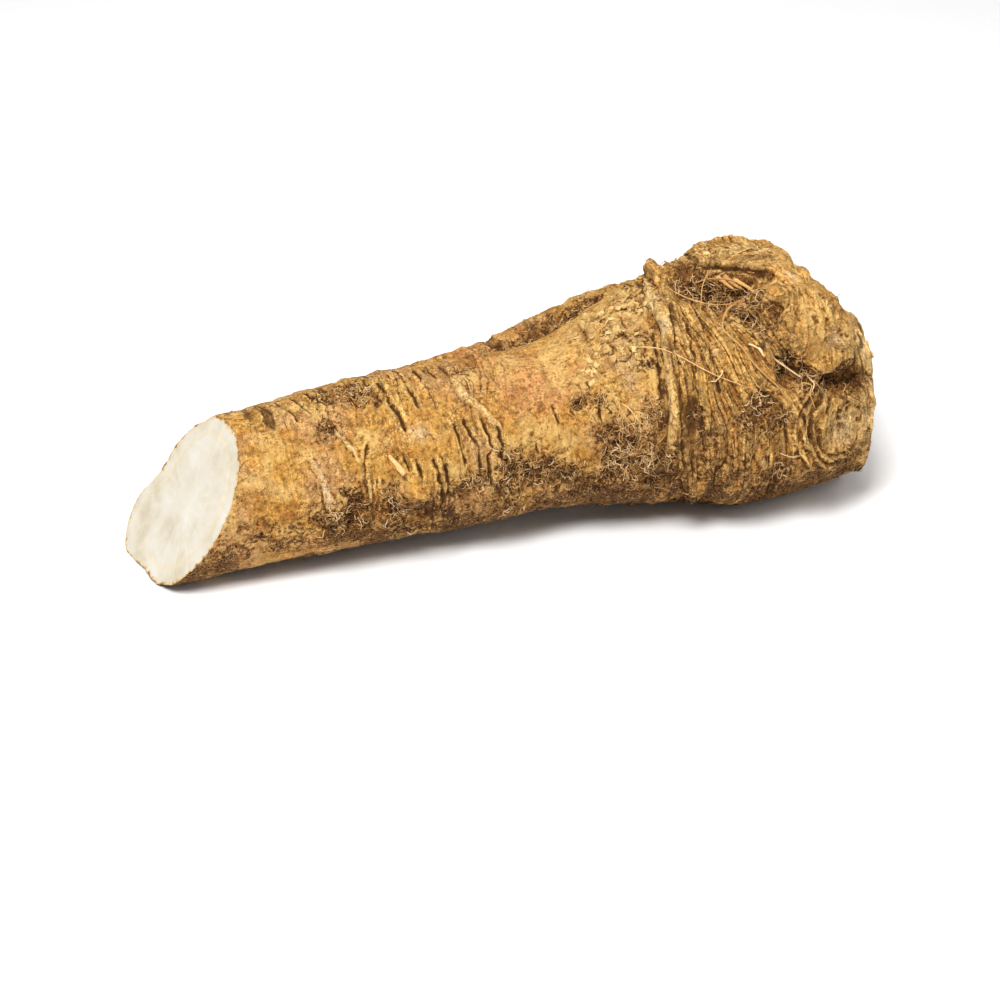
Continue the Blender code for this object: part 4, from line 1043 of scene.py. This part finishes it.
class Paint:
    """A material's nodes, put down with little writing, and the colour and relief so far."""

    def __init__(self, name):
        self.material = bpy.data.materials.new(name)
        self.material.use_nodes = True
        self.tree = self.material.node_tree
        self.shader = self.tree.nodes["Principled BSDF"]
        self.coordinates = self.node("TexCoord").outputs["Object"]
        self.colour = self.normal = None

    def put(self, socket, value):
        if isinstance(value, bpy.types.NodeSocket):
            self.tree.links.new(value, socket)
        else:
            socket.default_value = value

    def node(self, kind, **inputs):
        """A new node with these inputs, whose names have _ for a space."""
        made = self.tree.nodes.new("ShaderNode" + kind)
        for name, value in inputs.items():
            self.put(made.inputs[name.replace("_", " ")], value)
        return made

    def look(self, name, output="Fac"):
        """A value that the mesh carries."""
        made = self.node("Attribute")
        made.attribute_name = name
        return made.outputs[output]

    def noise(self, sizes, detail=4, roughness=0.55, distortion=0, carried=None):
        """Noise with shapes of these sizes in millimetres, over the piece or along a vector that
        the mesh carries."""
        sizes = sizes if isinstance(sizes, tuple) else (sizes,) * 3
        unit_length = 1 if carried else MM
        place = self.node("Mapping", Scale=[1 / (unit_length * size) for size in sizes])
        vector = self.look(carried, "Vector") if carried else self.coordinates
        self.put(place.inputs["Vector"], vector)
        made = self.node("TexNoise", Vector=place.outputs["Vector"], Scale=1, Detail=detail)
        self.put(made.inputs["Roughness"], roughness)
        self.put(made.inputs["Distortion"], distortion)
        return made.outputs["Fac"]

    def math(self, kind, a, b=0.0, c=0.0, clamp=False):
        made = self.node("Math")
        made.operation = kind
        made.use_clamp = clamp
        for socket, value in zip(made.inputs, (a, b, c)):
            self.put(socket, value)
        return made.outputs["Value"]

    def times(self, first, *others):
        for other in others:
            first = self.math("MULTIPLY", first, other)
        return first

    def plus(self, a, b):
        return self.math("ADD", a, b)

    def most(self, a, b):
        return self.math("MAXIMUM", a, b)

    def between(self, value, low, high, start=0.0, end=1.0):
        """value moved from low..high to start..end, and kept there."""
        made = self.node("MapRange", Value=value, From_Min=low, From_Max=high)
        self.put(made.inputs["To Min"], start)
        self.put(made.inputs["To Max"], end)
        return made.outputs["Result"]

    def nearness(self, value, core, edge):
        """1 where value is within core of a half, and 0 beyond edge."""
        gap = self.math("ABSOLUTE", self.math("SUBTRACT", value, 0.5))
        return self.between(gap, core, edge, 1.0, 0.0)

    def colours(self, value, *stops):
        """Colours along a value: each stop is its place, red, green and blue."""
        made = self.node("ValToRGB", Fac=value)
        ends = made.color_ramp.elements
        while len(ends) < len(stops):
            ends.new(0.5)
        for end, (place, *colour) in zip(ends, stops):
            end.position = place
            end.color = (*colour, 1)
        return made.outputs["Color"]

    def lay(self, colour, *amounts, blend="MIX"):
        """Lays a colour over the one so far, as strongly as the product of the amounts."""
        made = self.node("Mix", Factor=self.times(*amounts))
        made.data_type = "RGBA"
        made.blend_type = blend
        made.clamp_factor = True
        for name, value in (("A", self.colour), ("B", colour)):
            socket = next(s for s in made.inputs if s.name == name and s.type == "RGBA")
            self.put(socket, (*value, 1) if isinstance(value, tuple) else value)
        self.colour = next(s for s in made.outputs if s.type == "RGBA")

    def shade(self, value, amount):
        """Multiplies the colour so far by a number."""
        self.lay(value, amount, blend="MULTIPLY")

    def bump(self, height, strength, distance):
        """Adds relief to the relief so far, with its distance in millimetres."""
        made = self.node("Bump", Height=height, Strength=strength, Distance=distance * MM)
        if self.normal is not None:
            self.put(made.inputs["Normal"], self.normal)
        self.normal = made.outputs["Normal"]

    def finish(self, roughness, specular=0.5):
        """Hands the colour and relief so far to the shader."""
        self.shader.inputs["Specular IOR Level"].default_value = specular
        self.put(self.shader.inputs["Base Color"], self.colour)
        self.put(self.shader.inputs["Roughness"], roughness)
        if self.normal is not None:
            self.put(self.shader.inputs["Normal"], self.normal)
        return self.material


class SkinPaint(Paint):
    """Tan skin with coloured places, cracks and dirt, painted shade and painted highlight."""

    def __init__(self):
        super().__init__("root_skin")
        self.crown = self.look("fibrous")
        self.patches = self.noise(6.5, 5, 0.62)
        self.speckle = self.noise(1.1, 5, 0.7)
        self.dots = self.noise(0.42, 3, 0.65)
        self.threads = self.noise((0.9, 9, 9), 4, 0.62, carried="run")
        self.stripes = self.noise((3.2, 26, 26), 4, 0.6, carried="run")
        self.net = self.noise(1.9, 4, 0.6, 0.8)

    def on_crown(self, elsewhere, there):
        """One value on the thin half, going over into another on the crown."""
        return self.between(self.crown, 0, 1, elsewhere, there)

    def ground(self):
        """Tan on the thin half, ridges of it on the crown, dusky and rusty places."""
        self.colour = self.colours(
            self.patches,
            (0.3, 0.33, 0.12, 0.02),
            (0.43, 0.49, 0.235, 0.046),
            (0.55, 0.58, 0.315, 0.072),
            (0.7, 0.72, 0.45, 0.125),
        )
        ridges = self.colours(
            self.stripes,
            (0.32, 0.205, 0.068, 0.012),
            (0.46, 0.53, 0.24, 0.045),
            (0.57, 0.7, 0.385, 0.095),
            (0.72, 0.83, 0.54, 0.185),
        )
        self.lay(ridges, self.crown, 0.75)
        dusky = self.between(self.noise(13.0), 0.47, 0.6, 0.0, 0.75)
        self.lay((0.51, 0.275, 0.12), dusky, self.on_crown(1.0, 0.35))
        rust = self.colours(self.speckle, (0.36, 0.36, 0.105, 0.014), (0.62, 0.6, 0.265, 0.048))
        rusty = self.between(self.noise(4.6, 6, 0.68), 0.5, 0.6)
        rusty = self.times(rusty, self.between(self.noise(24.0, 3), 0.38, 0.62, 0.25, 0.95))
        amount = self.plus(rusty, self.times(self.look("orange"), 0.8))
        mottled = self.between(self.speckle, 0.4, 0.58, 0.15, 1.0)
        self.lay(rust, self.math("MULTIPLY", amount, mottled, clamp=True), 0.85)

    def coloured_places(self):
        pinks = self.colours(self.speckle, (0.38, 0.52, 0.165, 0.06), (0.62, 0.72, 0.38, 0.15))
        mottled = self.between(self.noise(3.4, 4, 0.6), 0.4, 0.58, 0.25, 0.9)
        self.lay(pinks, self.look("pink"), mottled)
        bark = self.colours(self.speckle, (0.36, 0.38, 0.175, 0.042), (0.62, 0.8, 0.535, 0.195))
        self.lay(bark, self.look("bark"), 0.75)
        mottled = self.between(self.speckle, 0.34, 0.56, 0.3, 1.0)
        self.lay((0.84, 0.61, 0.29), self.look("pale"), mottled, 0.85)
        mottled = self.between(self.speckle, 0.42, 0.6, 0.1, 0.95)
        self.lay((0.62, 0.56, 0.46), self.look("grey"), mottled, 0.9)
        # Painted highlight: pale gold laid on the raised crests of the relief.
        mottled = self.between(self.dots, 0.35, 0.6, 0.25, 0.85)
        self.lay((0.8, 0.56, 0.21), self.look("painted_crest_highlight"), mottled)

    def strokes_and_specks(self):
        """Fibres drawn light and dark, yellow places, and specks of brown skin, thick in some
        places and missing in others."""
        self.shade(self.between(self.threads, 0.37, 0.61, 0.48, 1.2), self.on_crown(0.4, 1.0))
        yellow = self.times(self.between(self.noise(9.0), 0.5, 0.64), self.on_crown(0.7, 0.3))
        self.lay((0.68, 0.44, 0.15), yellow)
        coarse = self.between(self.noise(5.0, 4, 0.6), 0.4, 0.6, 0.25, 1.0)
        coarse = self.times(coarse, self.between(yellow, 0, 0.8, 1.0, 0.55))
        self.shade(self.between(self.dots, 0.34, 0.62, 0.5, 1.36), coarse)
        self.shade(self.between(self.noise(1.7, 6, 0.72), 0.38, 0.58, 0.4, 1.22), coarse)
        specks = self.between(self.noise(0.75, 4, 0.7), 0.5, 0.56)
        where = self.between(self.noise(7.5, 4, 0.6), 0.5, 0.68, 0.06, 0.85)
        self.lay((0.17, 0.07, 0.018), specks, where)

    def cracks(self):
        """Hairline cracks, where the relief's own noises are near a half, finer ones along the
        fibres, and the crisp lines."""
        shake = self.between(self.dots, 0.3, 0.7, -0.035, 0.035)
        gap = self.nearness(self.plus(self.look("crack"), shake), 0.03, 0.085)
        thin = self.nearness(self.plus(self.look("thread"), shake), 0.02, 0.085)
        hair = self.nearness(self.threads, 0.006, 0.028)
        hair = self.times(hair, self.between(self.stripes, 0.4, 0.6, 0.85, 0.1), 0.75)
        fine = self.most(self.most(gap, self.times(thin, 0.7)), hair)
        broken = self.between(self.noise(3.0, 4, 0.6), 0.36, 0.52, 0.25, 1.0)
        fine = self.times(fine, self.look("cracked"), broken)
        crisp = self.nearness(self.plus(self.look("side"), self.times(shake, 2.0)), 0.07, 0.2)
        return self.most(fine, self.times(crisp, self.look("lined")))

    def dirt_and_shade(self):
        """A net of dark gaps between crumbs and threads on rough ground, and painted shade in the same
        colours on the underside and in hollows; grime mixed with painted shade in dips and hollows.
        """
        veil = self.nearness(self.noise(1.3, 3, 0.55, 1.6), 0.015, 0.06)
        # The soil mask is dirt on rough ground and painted shade on the underside and in hollows.
        soil = self.look("soil")
        dirt_and_shade = self.plus(soil, self.between(self.net, 0.36, 0.64, 0.55, -0.55))
        earth_and_shade = self.colours(
            self.speckle,
            (0.34, 0.018, 0.006, 0.002),
            (0.54, 0.075, 0.027, 0.006),
            (0.68, 0.25, 0.1, 0.024),
        )
        self.lay((0.33, 0.15, 0.034), soil, 0.45)
        self.lay(earth_and_shade, self.between(dirt_and_shade, 0.46, 0.7), 0.95)
        self.lay((0.7, 0.43, 0.165), veil, self.between(soil, 0.25, 0.6), 0.75)
        # Painted shade mixed with grime: a brown shade multiplied in, near black where deepest.
        grime_and_shade = self.plus(self.look("grime_and_shade"), self.between(self.speckle, 0.36, 0.64, -0.42, 0.42))
        grime_and_shade = self.plus(grime_and_shade, self.between(self.dots, 0.3, 0.7, -0.14, 0.14))
        stain_and_shade = self.between(grime_and_shade, 0.1, 0.46)
        self.lay((0.33, 0.195, 0.08), stain_and_shade, 0.95, blend="MULTIPLY")
        self.lay((0.026, 0.009, 0.003), self.between(grime_and_shade, 0.48, 0.9), 0.9)
        self.lay((0.42, 0.215, 0.07), veil, self.between(grime_and_shade, 0.3, 0.8, 0.0, 0.6))


def skin_paint():
    paint = SkinPaint()
    paint.ground()
    paint.coloured_places()
    paint.strokes_and_specks()
    lines = paint.cracks()
    paint.dirt_and_shade()
    paint.lay((0.06, 0.023, 0.007), lines, 0.88)
    paint.bump(paint.times(paint.speckle, paint.on_crown(1.0, 0.6)), 0.9, 0.36)
    paint.bump(paint.threads, 0.6, 0.34)
    paint.bump(paint.net, 0.6, 0.5)
    paint.bump(paint.math("SUBTRACT", 1.0, lines), 0.75, 0.3)
    paint.bump(paint.dots, 0.6, 0.15)
    return paint.finish(paint.between(paint.patches, 0.3, 0.7, 0.56, 0.86), 0.1)


def flesh_paint():
    """Cream flesh, clouded and rayed, with a ring under the skin and a torn brown edge."""
    paint = Paint("cut_flesh")
    depth = paint.look("depth")
    cloud = paint.noise(9.0)
    grain = paint.noise(0.8, 4, 0.65)
    paint.colour = paint.colours(
        cloud,
        (0.3, 0.51, 0.445, 0.315),
        (0.5, 0.61, 0.555, 0.455),
        (0.7, 0.665, 0.63, 0.56),
    )
    ring = paint.colours(
        paint.math("MULTIPLY_ADD", cloud, 0.05, depth),
        (0.17, 0.0, 0.0, 0.0),
        (0.205, 0.9, 0.9, 0.9),
        (0.24, 0.2, 0.2, 0.2),
        (0.3, 0.0, 0.0, 0.0),
    )
    paint.lay((0.66, 0.54, 0.32), ring, 0.6)
    spot = paint.node("CombineXYZ", X=paint.times(paint.look("turn"), 46.0), Y=paint.times(depth, 2.2))
    rays = paint.node("TexNoise", Scale=1, Detail=3)
    rays.noise_dimensions = "2D"
    paint.put(rays.inputs["Vector"], spot.outputs["Vector"])
    rays = rays.outputs["Fac"]
    paint.lay((0.72, 0.64, 0.47), paint.between(rays, 0.52, 0.68, 0.0, 0.32))
    ragged = paint.between(paint.noise(2.6, 4, 0.65), 0.42, 0.68, 0.0, 0.055)
    edge = paint.math("SUBTRACT", depth, ragged)
    paint.lay((0.64, 0.45, 0.17), paint.between(edge, -0.004, 0.034, 0.8, 0.0))
    paint.lay((0.23, 0.105, 0.028), paint.between(edge, -0.022, 0.002, 1.0, 0.0))
    speck = paint.between(paint.noise(1.6, 2), 0.7, 0.78, 0.0, 0.35)
    paint.lay((0.62, 0.51, 0.3), speck)
    paint.bump(grain, 0.35, 0.12)
    paint.bump(rays, 0.25, 0.15)
    return paint.finish(paint.between(grain, 0.3, 0.7, 0.36, 0.56))


def toned_paint(name, *stops):
    """A rough material whose colour follows each shape's own tone, speckled."""
    paint = Paint(name)
    grain = paint.noise(0.5, 4, 0.65)
    tone = paint.plus(paint.look("tone"), paint.between(grain, 0.3, 0.7, -0.14, 0.14))
    paint.colour = paint.colours(tone, *stops)
    paint.bump(grain, 0.4, 0.08)
    return paint.finish(paint.between(grain, 0.3, 0.7, 0.65, 0.9), 0.2)


def link(thing):
    bpy.context.scene.collection.objects.link(thing)
    return thing


def softbox(place, aim, size, power):
    lamp = bpy.data.lights.new("softbox", "AREA")
    lamp.size = size
    lamp.energy = power
    holder = link(bpy.data.objects.new("softbox", lamp))
    holder.location = place
    holder.rotation_euler = (Vector(aim) - Vector(place)).to_track_quat("-Z", "Y").to_euler()


def studio():
    """A pale floor, soft lamps and the photograph's camera."""
    bpy.ops.mesh.primitive_plane_add(size=6.0, location=(0, 0, -0.0002))
    floor = bpy.context.object
    floor.name = "floor"
    paint = Paint("floor")
    paint.shader.inputs["Base Color"].default_value = (0.9, 0.9, 0.9, 1)
    paint.shader.inputs["Roughness"].default_value = 0.9
    floor.data.materials.append(paint.material)
    softbox((-0.3, -0.42, 0.8), (0, 0, 0.03), 0.34, 10.2)
    softbox((0.6, -0.35, 0.55), (0.02, 0, 0.03), 0.6, 2.3)
    softbox((0.05, 0.45, 0.8), (0, 0, 0.03), 0.7, 3.4)
    world = bpy.data.worlds.new("studio")
    world.use_nodes = True
    sky = world.node_tree.nodes["Background"].inputs
    sky["Color"].default_value = (1, 1, 1, 1)
    sky["Strength"].default_value = 0.26
    bpy.context.scene.world = world
    bpy.context.scene.view_settings.view_transform = "Standard"

    turn, raised = math.radians(TURN), math.radians(RAISED)
    level = math.cos(raised)
    back = Vector((-math.sin(turn) * level, -math.cos(turn) * level, math.sin(raised)))
    camera = link(bpy.data.objects.new("camera", bpy.data.cameras.new("camera")))
    camera.data.lens = LENS
    camera.data.sensor_width = 36
    camera.data.clip_end = 20
    camera.location = (Vector(TARGET) + back * FAR) * MM
    camera.rotation_euler = back.to_track_quat("Z", "Y").to_euler()
    bpy.context.scene.camera = camera


def extras(ground):
    """The small things on the skin, which all draw from one row of random numbers."""
    draw = random.Random(11)
    hair_paint = toned_paint(
        "rootlets",
        (0.0, 0.03, 0.01, 0.003),
        (0.35, 0.18, 0.062, 0.014),
        (0.75, 0.68, 0.38, 0.125),
        (1.0, 0.9, 0.68, 0.4),
    )
    crumb_paint = toned_paint(
        "soil",
        (0.0, 0.024, 0.009, 0.003),
        (0.45, 0.1, 0.042, 0.012),
        (1.0, 0.42, 0.235, 0.075),
    )
    flake_paint = toned_paint(
        "bark_flakes",
        (0.0, 0.16, 0.07, 0.018),
        (0.5, 0.48, 0.265, 0.075),
        (1.0, 0.74, 0.52, 0.22),
    )
    made = []
    for name, paint, growths in (
        ("fine_roots", hair_paint, (tufts, stray_hairs)),
        ("long_rootlets", hair_paint, (rootlets, stumps)),
        ("soil_crumbs", crumb_paint, (crumbs,)),
        ("bark_flakes", flake_paint, (flakes,)),
    ):
        shapes = Shapes()
        for grow in growths:
            grow(ground, shapes, draw)
        made.append(shapes.finish(name, paint))
    return made


def main():
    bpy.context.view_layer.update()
    skin = dense_copy(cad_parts["root"])
    add_relief(skin)
    thin_out(skin)
    rim = slice_off(skin)
    skin.data.materials.append(skin_paint())
    flesh = cut_face(rim)
    flesh.data.materials.append(flesh_paint())
    small = extras(Ground(skin))
    studio()
    for piece in (skin, flesh, *small):
        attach(piece, "root")
    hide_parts("root")


main()
